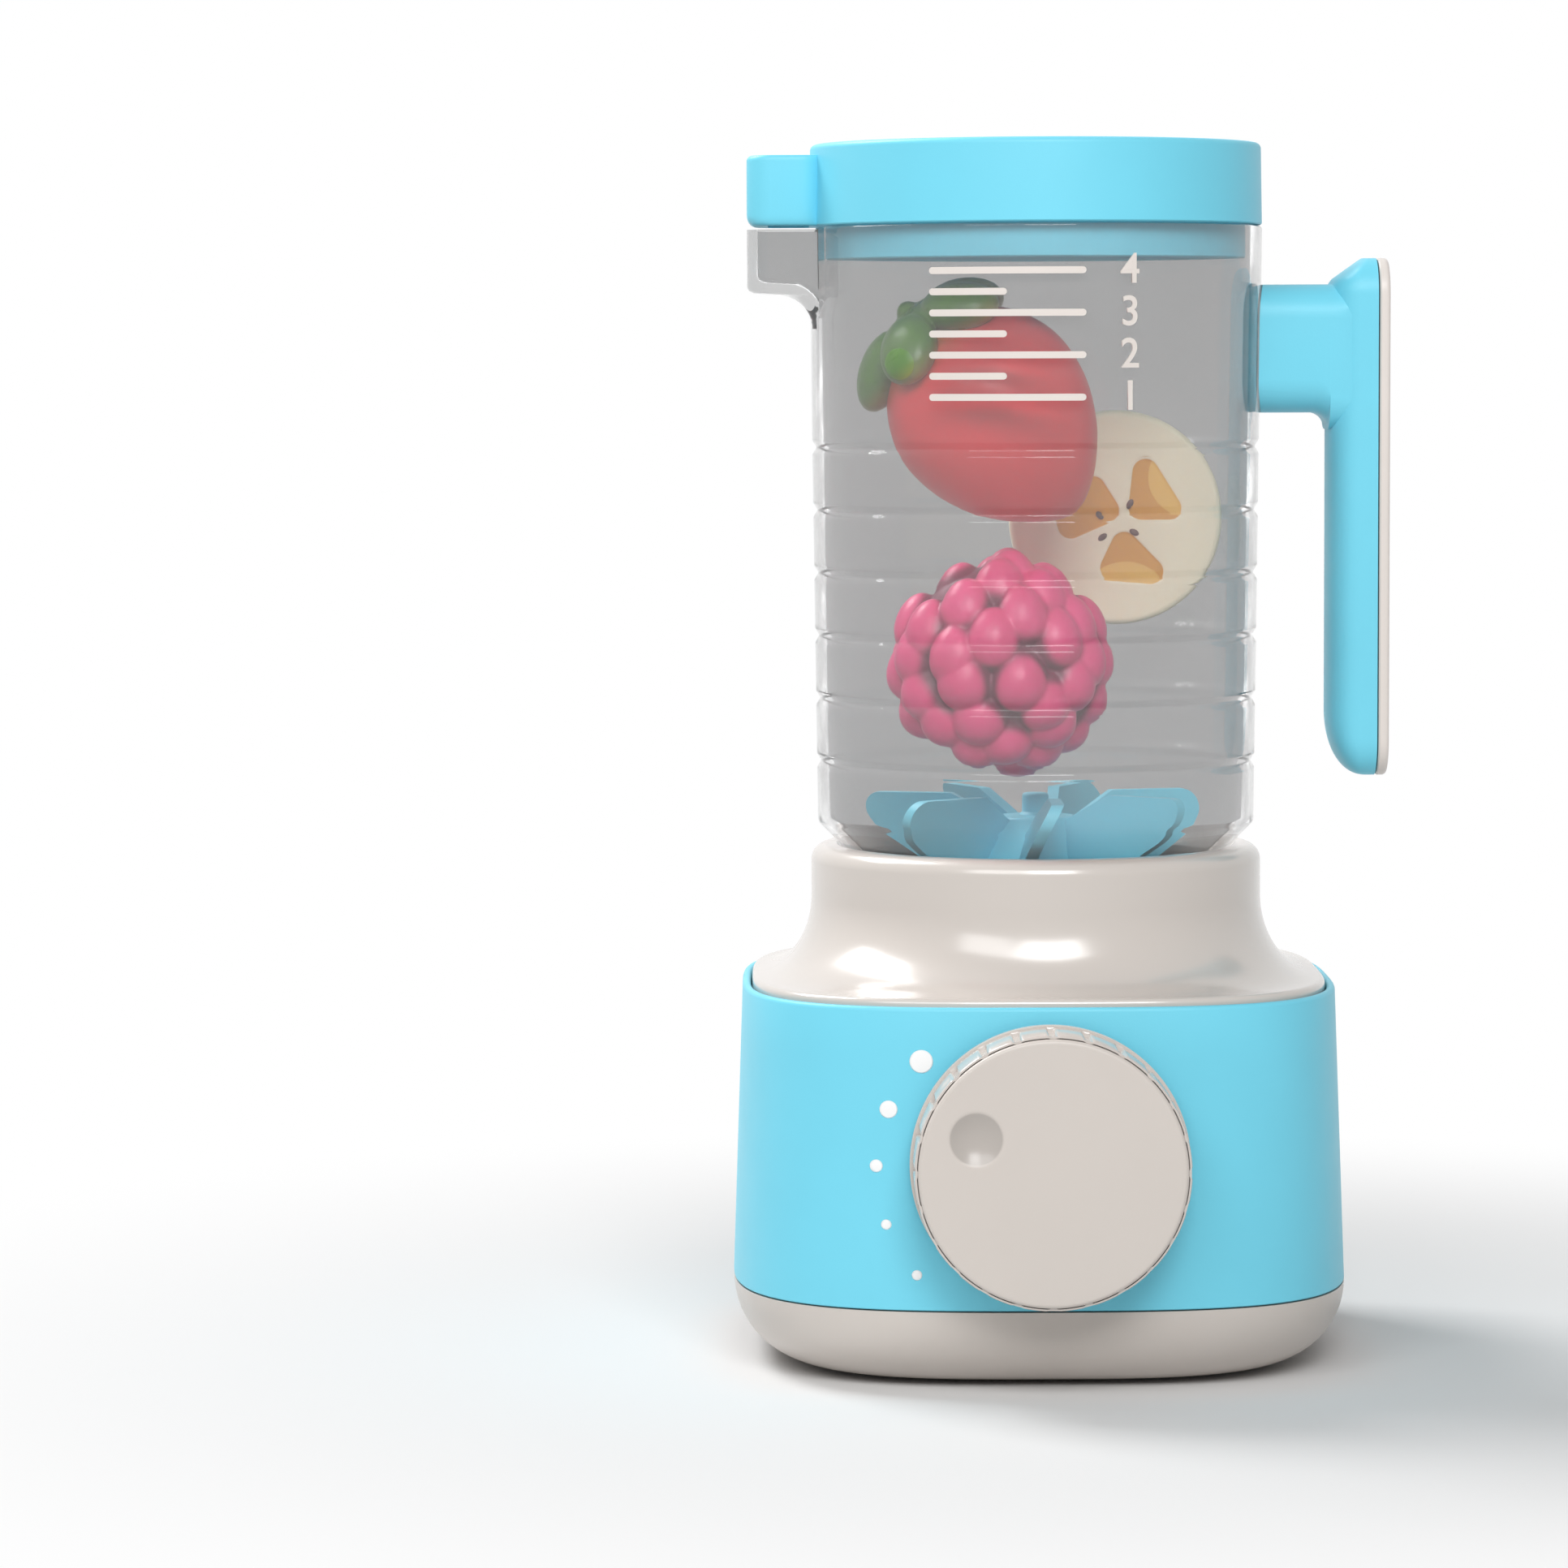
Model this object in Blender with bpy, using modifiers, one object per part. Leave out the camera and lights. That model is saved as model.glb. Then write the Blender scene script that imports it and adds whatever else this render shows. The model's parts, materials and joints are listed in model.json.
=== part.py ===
"""Toy blender with a lift-off jug and lid, a turning dial and driven blades.

Metres, +Z up. The front with the dial faces -Y, the spout points to -X and the handle to +X.
The origin is the centre of the underside; the rubber feet stand a little proud below it.
"""

import math

import bmesh
import bpy
from mathutils import Vector

# Fits shared by all pieces
SEAT_GAP = 0.0003
SHAFT_GAP = 0.00015
CUT_OVERRUN = 0.0010
MERGE_DISTANCE = 0.00001

# Base: a square-round pan, sleeve and collar
BASE_HALF_WIDTH = 0.0637
BASE_DRAFT = 0.0021
SHELL_WALL = 0.0022
PAN_HEIGHT = 0.0161
PAN_FLOOR = 0.0026
PAN_ROUND_WIDTH = 0.0160
PAN_HEIGHT_SHARES = (0.0, 0.04, 0.15, 0.34, 0.62, 1.0)
BODY_HEIGHT = 0.0612
RIM_WIDTH = 0.0017
RIM_DEPTH = 0.0032
LEDGE_WIDTH = 0.0024
LEDGE_THICKNESS = 0.0015

# Collar and its cup
COLLAR_RADIUS = 0.0471
COLLAR_HEIGHT = 0.0281
COLLAR_EDGE_STEP = 0.0015
COLLAR_EDGE_ROUND = 0.0012
FLARE_HEIGHT = 0.0160
LIP_ROUND = 0.0034
LIP_THICKNESS = 0.0066
CUP_RADIUS = 0.0385
CUP_DEPTH = 0.0202
FLARE_SHARES = (0.0, 0.24, 0.46, 0.66, 0.84, 1.0)
EDGE_CORNER_SHARE = 0.3

# Screw posts under the collar and the screws that hold the pan
POST_X = 0.0200
POST_INSET = 0.0057
POST_RADIUS = 0.0032
POST_TOP_SHARE = 0.45
PAN_BOSS_RADIUS = 0.0050
PAN_BOSS_HEIGHT = 0.0054
BASE_SCREW_RADIUS = 0.0014
BASE_SCREW_HEAD_RADIUS = 0.0030
BASE_SCREW_HEAD_HEIGHT = 0.0020
BASE_SCREW_LENGTH = 0.0110
BASE_SCREW_RECESS = 0.0030
HEAD_CROWN_SHARE = 0.7
FOUR_CORNERS = ((-1, -1), (1, -1), (1, 1), (-1, 1))

# Rubber feet
FOOT_OFFSET = 0.0350
FOOT_RADIUS = 0.0050
FOOT_STANDOFF = 0.0007
FOOT_RECESS = 0.0012
FOOT_ROUND = 0.0004

# Battery bay for three size AA cells lying along X
CELL_RADIUS = 0.0071
CELL_LENGTH = 0.0503
CELL_NUB_RADIUS = 0.0027
CELL_NUB_HEIGHT = 0.0014
CELL_SHOULDER_SHARE = 0.9
CELL_PITCH = 0.0147
CONTACT_THICKNESS = 0.0005
CONTACT_SPRING_LENGTH = 0.0028
CONTACT_SPRING_RADIUS = 0.0028
BAY_WALL = 0.0016
DOOR_THICKNESS = 0.0013
DOOR_MARGIN = 0.0034
DOOR_TAIL = 0.0072
DOOR_CORNER = 0.0030
DOOR_SCREW_RADIUS = 0.0012
DOOR_SCREW_HEAD_RADIUS = 0.0022
DOOR_SCREW_HEAD_HEIGHT = 0.0005
DOOR_SCREW_LENGTH = 0.0062
DOOR_BOSS_RADIUS = 0.0028
DOOR_BOSS_HEIGHT = 0.0060

# Motor and gear train
MOTOR_RADIUS = 0.0120
MOTOR_LENGTH = 0.0322
MOTOR_BOSS_RADIUS = 0.0045
MOTOR_BOSS_HEIGHT = 0.0012
MOTOR_SHAFT_RADIUS = 0.00115
MOTOR_SHAFT_DEPTH = 0.0060
FRAME_PLATE = 0.0025
FRAME_HALF_WIDTH = 0.0190
FRAME_FRONT = 0.0110
FRAME_LEG_THICKNESS = 0.0020
FRAME_RING_WALL = 0.0016
FRAME_RING_HEIGHT = 0.0070
GEAR_MODULE = 0.00125
GEAR_TEETH = 30
PINION_TEETH = 10
GEAR_WIDTH = 0.0060
GEAR_HUB_RADIUS = 0.0050
GEAR_HUB_HEIGHT = 0.0020
GEAR_BACKLASH = 0.00035
GEAR_CENTRE_SLACK = 0.00020
PRESSURE_ANGLE = math.radians(25)
ADDENDUM_SHARE = 0.8
DEDENDUM_SHARE = 1.1

# Drive line
DRIVE_SHAFT_RADIUS = 0.0020
BEARING_RADIUS = 0.0035
BEARING_FLANGE_RADIUS = 0.0050
BEARING_FLANGE = 0.0010
CUP_BEARING_RADIUS = 0.0050
CUP_BEARING_FLANGE_RADIUS = 0.0070
CUP_BEARING_FLANGE = 0.0012
COUPLER_RADIUS = 0.0090
COUPLER_DISC = 0.0018
COUPLER_LUG_HEIGHT = 0.0028
COUPLER_LUG_INNER_RADIUS = 0.0036
COUPLER_LUGS = 3
COUPLER_LUG_SHARE = 0.42

# Dial on the front wall
DIAL_HEIGHT = 0.0301
DIAL_WALL_GAP = 0.0003
DIAL_DEPTH = 0.0154
DIAL_RADIUS = 0.0275
DIAL_FLANGE_RADIUS = 0.0281
DIAL_FLANGE = 0.0016
DIAL_WALL = 0.0022
DIAL_CAP_RADIUS = 0.0268
DIAL_CAP_THICKNESS = 0.0023
DIAL_CAP_PROUD = 0.0010
DIAL_EDGE_ROUND = 0.0009
DIAL_NOTCHES = 24
DIAL_NOTCH_WIDTH = 0.0016
DIAL_NOTCH_DEPTH = 0.0006
DIAL_HUB_RADIUS = 0.0050
DIAL_SHAFT_RADIUS = 0.0030
DIMPLE_RADIUS = 0.0055
DIMPLE_DEPTH = 0.0016
DIMPLE_ARM = 0.0168
DIMPLE_ANGLE = math.radians(155.3)

# Level lights beside the dial
LIGHT_ARC_RADIUS = 0.0312
LIGHT_ARC_X = -0.0035
LIGHT_ARC_Z = -0.0017
LIGHT_ANGLES = tuple(math.radians(degrees) for degrees in (135.2, 156.9, 178.5, 200.5, 222.2))
LIGHT_RADII = (0.00235, 0.0018, 0.0013, 0.00105, 0.00105)
LIGHT_STRIP_WIDTH = 0.0060
LIGHT_STRIP_THICKNESS = 0.0018
LIGHT_STRIP_MARGIN = math.radians(6)
LIGHT_PROUD = 0.0001

# Control board and rotary switch behind the dial
BOARD_SETBACK = 0.0088
BOARD_LIGHT_GAP = 0.0010
BOARD_THICKNESS = 0.0016
BOARD_LEFT = 0.0360
BOARD_RIGHT = 0.0290
BOARD_HALF_HEIGHT = 0.0190
BOARD_BOSS_X = 0.0170
BOARD_BOSS_Z = 0.0140
BOARD_BOSS_RADIUS = 0.0026
BOARD_SCREW_RADIUS = 0.0010
BOARD_SCREW_HEAD_RADIUS = 0.0019
BOARD_SCREW_HEAD_HEIGHT = 0.0012
BOARD_SCREW_LENGTH = 0.0060
SWITCH_HALF_WIDTH = 0.0070
SWITCH_DEPTH = 0.0070
SWITCH_SOCKET_DEPTH = 0.0050
CHIP_HALF_WIDTH = 0.0050
CHIP_HALF_HEIGHT = 0.0030
CHIP_THICKNESS = 0.0014

# Jug
JUG_TOP_RADIUS = 0.0472
JUG_BOTTOM_RADIUS = 0.0457
JUG_SHOULDER_RISE = 0.0047
JUG_HEIGHT = 0.1239
JUG_WALL = 0.0024
JUG_FLOOR = 0.0024
JUG_FLOOR_RISE = 0.0010
JUG_RIM_ROUND = 0.0005
SHOULDER_INSIDE_SHARE = 0.42
GROOVE_COUNT = 6
GROOVE_PITCH = 0.0131
GROOVE_DEPTH = 0.00083
GROOVE_WIDTH = 0.0030
GROOVE_SHARES = ((1.0, 0.0), (0.0, 1.0), (-1.0, 0.0))
LOWEST_GROOVE = 0.0128
SPOUT_REACH = 0.0601
SPOUT_HALF_WIDTH = 0.0130
SPOUT_HEIGHT = 0.0137
SPOUT_RIM_DROP = 0.0005
SPOUT_CORNER = 0.0050
SPOUT_FLAT = 0.0064
SPOUT_BLEND = 0.0074
SPOUT_BLEND_STEPS = 4
SPOUT_FLOOR_RISE = 0.0003
SPOUT_WALL = 0.0022
BLADE_BEARING_RADIUS = 0.0050
BLADE_BEARING_FLANGE_RADIUS = 0.0070
BLADE_BEARING_FLANGE = 0.0010

# Blades
BLADE_SHAFT_RADIUS = 0.0025
HUB_RADIUS = 0.0138
HUB_TOP_RADIUS = 0.0085
HUB_HEIGHT = 0.0119
HUB_EDGE = 0.0009
HUB_CAP = 0.0020
NUB_RADIUS = 0.0027
NUB_HEIGHT = 0.0049
BLADE_COUNT = 7
BLADE_TIP_RADIUS = 0.0360
BLADE_FOOT_RADIUS = 0.0215
BLADE_HEIGHT = 0.0168
BLADE_THICKNESS = 0.0026
BLADE_LEAN = 0.0062
BLADE_INNER_TOP_RADIUS = 0.0172
BLADE_HEIGHT_SHARES = (0.0, 0.22, 0.45, 0.66, 0.85, 0.95, 1.0)
BLADE_TIP_SHARES = (0.0, 0.37, 0.75, 0.95, 1.0, 0.94, 0.79)
BLADE_ROOT_SHARES = (0.0, 0.0, 0.0, 0.17, 0.68, 0.89, 1.0)
BLADE_LEAN_EXPONENT = 1.6

# Handle
HANDLE_REACH = 0.0731
HANDLE_GRIP_DEPTH = 0.0099
HANDLE_HALF_WIDTH = 0.0115
HANDLE_TOP_DROP = 0.0067
HANDLE_LENGTH = 0.1077
HANDLE_END_DEPTH = 0.0025
HANDLE_TOP_TAPER = 0.0052
HANDLE_FOOT_TAPER = 0.0135
HANDLE_FACET = 0.0028
HANDLE_END_CORNER = 0.0075
GRIP_END_SHARES = (0.0, 0.06, 0.2, 0.42, 0.7, 1.0)
GRIP_ARC_SHARES = (0.0, 0.12, 0.3, 0.5, 0.7, 0.88, 1.0)
GRIP_SQUARE_SHARE = 0.8
ARM_TOP_DROP = 0.0121
ARM_HEIGHT = 0.0266
ARM_CORNER = 0.0070
ARM_FILLET = 0.0035
ARM_WIDTH_SHARE = 0.96
STRIP_THICKNESS = 0.0022
STRIP_ROUND = 0.0007
HANDLE_PAD_HALF_WIDTH = 0.0070
HANDLE_PAD_THICKNESS = 0.0014
HANDLE_PAD_MARGIN = 0.0015
HANDLE_BOSS_RADIUS = 0.0030
HANDLE_BOSS_SHARE = 0.35
HANDLE_BOSS_SPACING = 0.0130
HANDLE_SCREW_RADIUS = 0.0013
HANDLE_SCREW_HEAD_RADIUS = 0.0027
HANDLE_SCREW_HEAD_HEIGHT = 0.0018
HANDLE_SCREW_BITE_SHARE = 0.7
HANDLE_SCREW_RECESS = 0.0014

# Lid
LID_RADIUS = 0.04715
LID_TOP_RADIUS = 0.0469
LID_HEIGHT = 0.0169
LID_ROUND = 0.0010
LID_TOP = 0.0022
LID_SKIRT_RADIUS = 0.0437
LID_SKIRT_WALL = 0.0013
LID_SKIRT_DEPTH = 0.0071
LID_SPOUT_DROP = 0.0024
LID_SPOUT_ROUND = 0.0022

# Play food, each loose in the jug
STRAWBERRY_PLACE = (-0.0085, -0.0177, 0.1943)
STRAWBERRY_LENGTH = 0.0500
STRAWBERRY_RADIUS = 0.0207
STRAWBERRY_TILT = math.radians(140)
STRAWBERRY_LENGTH_SHARES = (1.0, 0.93, 0.80, 0.62, 0.42, 0.24, 0.10, 0.02, 0.0)
STRAWBERRY_RADIUS_SHARES = (0.0, 0.50, 0.82, 0.99, 0.95, 0.75, 0.46, 0.18, 0.0)
LEAF_LENGTH = 0.0170
LEAF_WIDTH = 0.0105
LEAF_THICKNESS = 0.0072
LEAF_COUNT = 5
LEAF_TURN_SHARE = 0.13
RASPBERRY_PLACE = (-0.0081, -0.0178, 0.1444)
RASPBERRY_RADIUS = 0.0187
RASPBERRY_HEIGHT = 0.0190
DRUPELET_RADIUS = 0.0056
DRUPELET_ROWS = (1, 6, 11, 14, 14, 11, 6, 1)
BANANA_PLACE = (0.0177, 0.0151, 0.1731)
BANANA_RADIUS = 0.0226
BANANA_THICKNESS = 0.0060
BANANA_EDGE_ROUND = 0.0014

# How finely round forms are divided
SHELL_SEGMENTS = 40
ROUND_SEGMENTS = 40
DIAL_SEGMENTS = 48
MEDIUM_SEGMENTS = 20
SMALL_SEGMENTS = 10
SHARP_ANGLE = math.radians(35)

# Exponent of the base's square-round outline; 2 is a circle
SQUARENESS = 3.2

# Widths and reaches worked out from the sizes above
BASE_TOP_HALF_WIDTH = BASE_HALF_WIDTH - BASE_DRAFT
POST_Y = BASE_HALF_WIDTH - PAN_ROUND_WIDTH - POST_INSET
HANDLE_BACK = HANDLE_REACH - STRIP_THICKNESS - SEAT_GAP
HANDLE_GRIP_INNER = HANDLE_BACK - HANDLE_GRIP_DEPTH
HANDLE_SCREW_SEAT = HANDLE_BACK - HANDLE_SCREW_RECESS - HANDLE_SCREW_HEAD_HEIGHT

# Heights worked out from the sizes above
SEAM_Z = PAN_HEIGHT
BODY_BOTTOM_Z = SEAM_Z + SEAT_GAP
RIM_Z = SEAM_Z + BODY_HEIGHT
LIP_Z = RIM_Z + COLLAR_HEIGHT
CUP_FLOOR_Z = LIP_Z - CUP_DEPTH
SHOULDER_Z = LIP_Z + JUG_SHOULDER_RISE
JUG_RIM_Z = SHOULDER_Z + JUG_HEIGHT
DIAL_Z = SEAM_Z + DIAL_HEIGHT
NECK_RADIUS = CUP_RADIUS - SEAT_GAP
NECK_TOP_Z = SHOULDER_Z - (JUG_BOTTOM_RADIUS - NECK_RADIUS)
NECK_BOTTOM_Z = CUP_FLOOR_Z + SEAT_GAP
LID_BOTTOM_Z = JUG_RIM_Z + SEAT_GAP
LID_TOP_Z = LID_BOTTOM_Z + LID_HEIGHT

# Heights of the drive line, from the cup floor up
CUP_FLANGE_TOP_Z = CUP_FLOOR_Z + SEAT_GAP + CUP_BEARING_FLANGE
DRIVE_DISC_Z = CUP_FLANGE_TOP_Z + SEAT_GAP
DRIVE_DISC_TOP_Z = DRIVE_DISC_Z + COUPLER_DISC
BLADE_DISC_Z = DRIVE_DISC_TOP_Z + COUPLER_LUG_HEIGHT + SEAT_GAP
BLADE_DISC_TOP_Z = BLADE_DISC_Z + COUPLER_DISC
BLADE_BEARING_BOTTOM_Z = BLADE_DISC_TOP_Z + SEAT_GAP
JUG_FLOOR_BOTTOM_Z = BLADE_BEARING_BOTTOM_Z + JUG_FLOOR_RISE
JUG_FLOOR_Z = JUG_FLOOR_BOTTOM_Z + JUG_FLOOR
BLADE_FLANGE_TOP_Z = JUG_FLOOR_Z + SEAT_GAP + BLADE_BEARING_FLANGE
HUB_Z = BLADE_FLANGE_TOP_Z + SEAT_GAP

# Heights of the works in the base, from the pan's floor up
BAY_BOTTOM_Z = PAN_FLOOR + SEAT_GAP
CELL_Z = DOOR_THICKNESS + SEAT_GAP + CELL_RADIUS
BAY_ROOF_Z = CELL_Z + CELL_RADIUS + SEAT_GAP
BAY_TOP_Z = BAY_ROOF_Z + BAY_WALL
BAY_HALF_LENGTH = CELL_LENGTH / 2 + CONTACT_SPRING_LENGTH + CONTACT_THICKNESS + 2 * SEAT_GAP
BAY_HALF_WIDTH = CELL_PITCH + CELL_RADIUS + SEAT_GAP
MOTOR_Z = BAY_TOP_Z + SEAT_GAP
PLATE_Z = MOTOR_Z + MOTOR_LENGTH + SEAT_GAP
PLATE_TOP_Z = PLATE_Z + FRAME_PLATE
GEAR_Z = PLATE_TOP_Z + 2 * SEAT_GAP + BEARING_FLANGE
GEAR_DISTANCE = GEAR_MODULE * (GEAR_TEETH + PINION_TEETH) / 2 + GEAR_CENTRE_SLACK
MOTOR_Y = GEAR_DISTANCE


def clear_scene():
    for leftover in list(bpy.data.objects):
        bpy.data.objects.remove(leftover)


def new_collection(name):
    collection = bpy.data.collections.new(name)
    bpy.context.scene.collection.children.link(collection)
    return collection


def make_material(name, color, roughness, metallic=0.0, alpha=1.0):
    material = bpy.data.materials.new(name)
    material.use_nodes = True
    shader = material.node_tree.nodes["Principled BSDF"]
    shader.inputs["Base Color"].default_value = (*color, 1.0)
    shader.inputs["Roughness"].default_value = roughness
    shader.inputs["Metallic"].default_value = metallic
    shader.inputs["Alpha"].default_value = alpha
    return material


def make_materials():
    return {
        "turquoise": make_material("turquoise_plastic", (0.20, 0.76, 0.90), 0.45),
        "greige": make_material("greige_plastic", (0.65, 0.59, 0.55), 0.35),
        "clear": make_material("clear_plastic", (0.62, 0.62, 0.62), 0.05, alpha=0.35),
        "white": make_material("white_plastic", (0.95, 0.95, 0.95), 0.40),
        "black": make_material("black_plastic", (0.03, 0.03, 0.03), 0.50),
        "acetal": make_material("cream_acetal", (0.80, 0.78, 0.70), 0.40),
        "rubber": make_material("grey_rubber", (0.12, 0.12, 0.12), 0.80),
        "steel": make_material("bright_steel", (0.62, 0.62, 0.63), 0.30, metallic=1.0),
        "brass": make_material("sintered_bronze", (0.55, 0.42, 0.22), 0.45, metallic=1.0),
        "board": make_material("green_board", (0.03, 0.22, 0.08), 0.50),
        "cell": make_material("cell_sleeve", (0.10, 0.12, 0.16), 0.35),
        "strawberry": make_material("red_food_plastic", (0.80, 0.05, 0.06), 0.40),
        "leaf": make_material("green_food_plastic", (0.12, 0.33, 0.03), 0.40),
        "raspberry": make_material("pink_food_plastic", (0.63, 0.03, 0.17), 0.40),
        "banana": make_material("cream_food_plastic", (0.95, 0.76, 0.46), 0.45),
    }


clear_scene()
PARTS = new_collection("toy_blender")
CUTTERS = new_collection("cutters")
MATERIALS = make_materials()


def add_object(name, mesh, material):
    """Object of the toy, or a cutter where it has no material."""
    piece = bpy.data.objects.new(name, mesh)
    if material is None:
        CUTTERS.objects.link(piece)
        piece.hide_render = True
        piece.display_type = "WIRE"
    else:
        PARTS.objects.link(piece)
        mesh.materials.append(MATERIALS[material])
    return piece


def finish_mesh(name, builder, material):
    """Object from a bmesh, with smooth faces between its sharp edges."""
    bmesh.ops.recalc_face_normals(builder, faces=builder.faces)
    mesh = bpy.data.meshes.new(name)
    builder.to_mesh(mesh)
    builder.free()
    mesh.shade_smooth()
    mesh.set_sharp_from_angle(angle=SHARP_ANGLE)
    return add_object(name, mesh, material)


def turned(name, profile, material, segments=MEDIUM_SEGMENTS, ring=False):
    """Solid turned about Z from (radius, height) points that run down its outer side."""
    mesh = bpy.data.meshes.new(name)
    points = [(radius, 0.0, height) for radius, height in profile]
    edges = [(index, index + 1) for index in range(len(points) - 1)]
    if ring:
        edges.append((len(points) - 1, 0))
    mesh.from_pydata(points, edges, [])
    piece = add_object(name, mesh, material)
    screw = piece.modifiers.new("turn", "SCREW")
    screw.steps = segments
    screw.render_steps = segments
    screw.use_merge_vertices = True
    screw.merge_threshold = MERGE_DISTANCE
    screw.use_smooth_shade = True
    return piece


def cylinder(name, radius, bottom, top, material, segments=SMALL_SEGMENTS, place=(0, 0)):
    """Plain cylinder along Z between two heights, centred on a place in X and Y."""
    builder = bmesh.new()
    bmesh.ops.create_cone(
        builder,
        cap_ends=True,
        segments=segments,
        radius1=radius,
        radius2=radius,
        depth=top - bottom,
    )
    bmesh.ops.translate(builder, verts=builder.verts, vec=(0, 0, (top + bottom) / 2))
    piece = finish_mesh(name, builder, material)
    piece.location = (place[0], place[1], 0)
    return piece


def box(name, low, high, material):
    """Block between two opposite corners."""
    builder = bmesh.new()
    bmesh.ops.create_cube(builder, size=1.0)
    size = [end - start for start, end in zip(low, high)]
    centre = [(end + start) / 2 for start, end in zip(low, high)]
    bmesh.ops.scale(builder, verts=builder.verts, vec=size)
    bmesh.ops.translate(builder, verts=builder.verts, vec=centre)
    return finish_mesh(name, builder, material)


def plate(name, outlines, bottom, top, material):
    """Flat outline with any holes, drawn in X and Y and extruded between two heights."""
    curve = bpy.data.curves.new(name, "CURVE")
    curve.dimensions = "2D"
    curve.fill_mode = "BOTH"
    curve.extrude = (top - bottom) / 2
    for outline in outlines:
        spline = curve.splines.new("POLY")
        spline.points.add(len(outline) - 1)
        for point, (x, y) in zip(spline.points, outline):
            point.co = (x, y, 0, 1)
        spline.use_cyclic_u = True
    holder = bpy.data.objects.new(name, curve)
    bpy.context.scene.collection.objects.link(holder)
    bpy.context.view_layer.update()
    graph = bpy.context.evaluated_depsgraph_get()
    flat = bpy.data.meshes.new_from_object(holder.evaluated_get(graph))
    builder = bmesh.new()
    builder.from_mesh(flat)
    bmesh.ops.remove_doubles(builder, verts=builder.verts, dist=MERGE_DISTANCE)
    bmesh.ops.translate(builder, verts=builder.verts, vec=(0, 0, (top + bottom) / 2))
    bpy.data.objects.remove(holder)
    bpy.data.curves.remove(curve)
    bpy.data.meshes.remove(flat)
    return finish_mesh(name, builder, material)


def loft(name, rings, material, looped=False):
    """Skin through rings of equally many points, capped at both ends unless the rings loop."""
    builder = bmesh.new()
    rows = [[builder.verts.new(point) for point in ring] for ring in rings]
    pairs = list(zip(rows, rows[1:]))
    if looped:
        pairs.append((rows[-1], rows[0]))
    for row, next_row in pairs:
        for index in range(len(row)):
            after = (index + 1) % len(row)
            builder.faces.new((row[index], row[after], next_row[after], next_row[index]))
    if not looped:
        builder.faces.new(rows[0][::-1])
        builder.faces.new(rows[-1])
    return finish_mesh(name, builder, material)


def cut(piece, cutter):
    modifier = piece.modifiers.new(cutter.name, "BOOLEAN")
    modifier.operation = "DIFFERENCE"
    modifier.object = cutter


def join(piece, addition):
    modifier = piece.modifiers.new(addition.name, "BOOLEAN")
    modifier.operation = "UNION"
    modifier.object = addition


def arc(centre, radius, start, end, steps):
    """Points of a circular arc, from a start to an end angle in degrees."""
    points = []
    for index in range(steps + 1):
        angle = math.radians(start + (end - start) * index / steps)
        points.append((centre[0] + radius * math.cos(angle), centre[1] + radius * math.sin(angle)))
    return points


def rounded_rectangle(low, high, corner, steps=3):
    """Outline in a plane between two corners, with round corners."""
    left, bottom = low[0] + corner, low[1] + corner
    right, top = high[0] - corner, high[1] - corner
    outline = arc((right, top), corner, 0, 90, steps)
    outline += arc((left, top), corner, 90, 180, steps)
    outline += arc((left, bottom), corner, 180, 270, steps)
    outline += arc((right, bottom), corner, 270, 360, steps)
    return outline


def circle(radius, segments, centre=(0, 0)):
    return arc(centre, radius, 0, 360, segments)[:-1]


def square_ring(half_width, height, squareness=SQUARENESS):
    """Ring of the base's outline: a circle at squareness 2, squarer above it."""
    ring = []
    for index in range(SHELL_SEGMENTS):
        angle = math.tau * index / SHELL_SEGMENTS
        across = abs(math.cos(angle)) ** squareness + abs(math.sin(angle)) ** squareness
        reach = half_width / across ** (1 / squareness)
        ring.append(Vector((reach * math.cos(angle), reach * math.sin(angle), height)))
    return ring


def round_ring(radius, height):
    return square_ring(radius, height, squareness=2)


def sleeve_half_width(height):
    """Half width of the sleeve's outside at a height; it narrows towards the rim."""
    share = (height - SEAM_Z) / BODY_HEIGHT
    return BASE_HALF_WIDTH + share * (BASE_TOP_HALF_WIDTH - BASE_HALF_WIDTH)


def front_wall_y(x, height, inset=0.0):
    """Y of the sleeve's front face, or of a face inside it, at a place across and a height."""
    half_width = sleeve_half_width(height) - inset
    share = 1 - (abs(x) / half_width) ** SQUARENESS
    return -half_width * share ** (1 / SQUARENESS)


def screw(name, head_radius, head_height, shank_radius, length, segments=SMALL_SEGMENTS):
    """Pan-head screw along Z, head down, its head's upper side at zero."""
    profile = [
        (0.0, length),
        (shank_radius, length - shank_radius / 2),
        (shank_radius, 0.0),
        (head_radius, 0.0),
        (head_radius, -head_height / 2),
        (head_radius * HEAD_CROWN_SHARE, -head_height),
        (0.0, -head_height),
    ]
    return turned(name, profile, "steel", segments)


def pan_half_width(share):
    """Half width of the pan's outside at a share of its height, from flat floor to seam."""
    reach = math.sqrt(1 - (1 - share) ** 2)
    return BASE_HALF_WIDTH - PAN_ROUND_WIDTH * (1 - reach)


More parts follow.
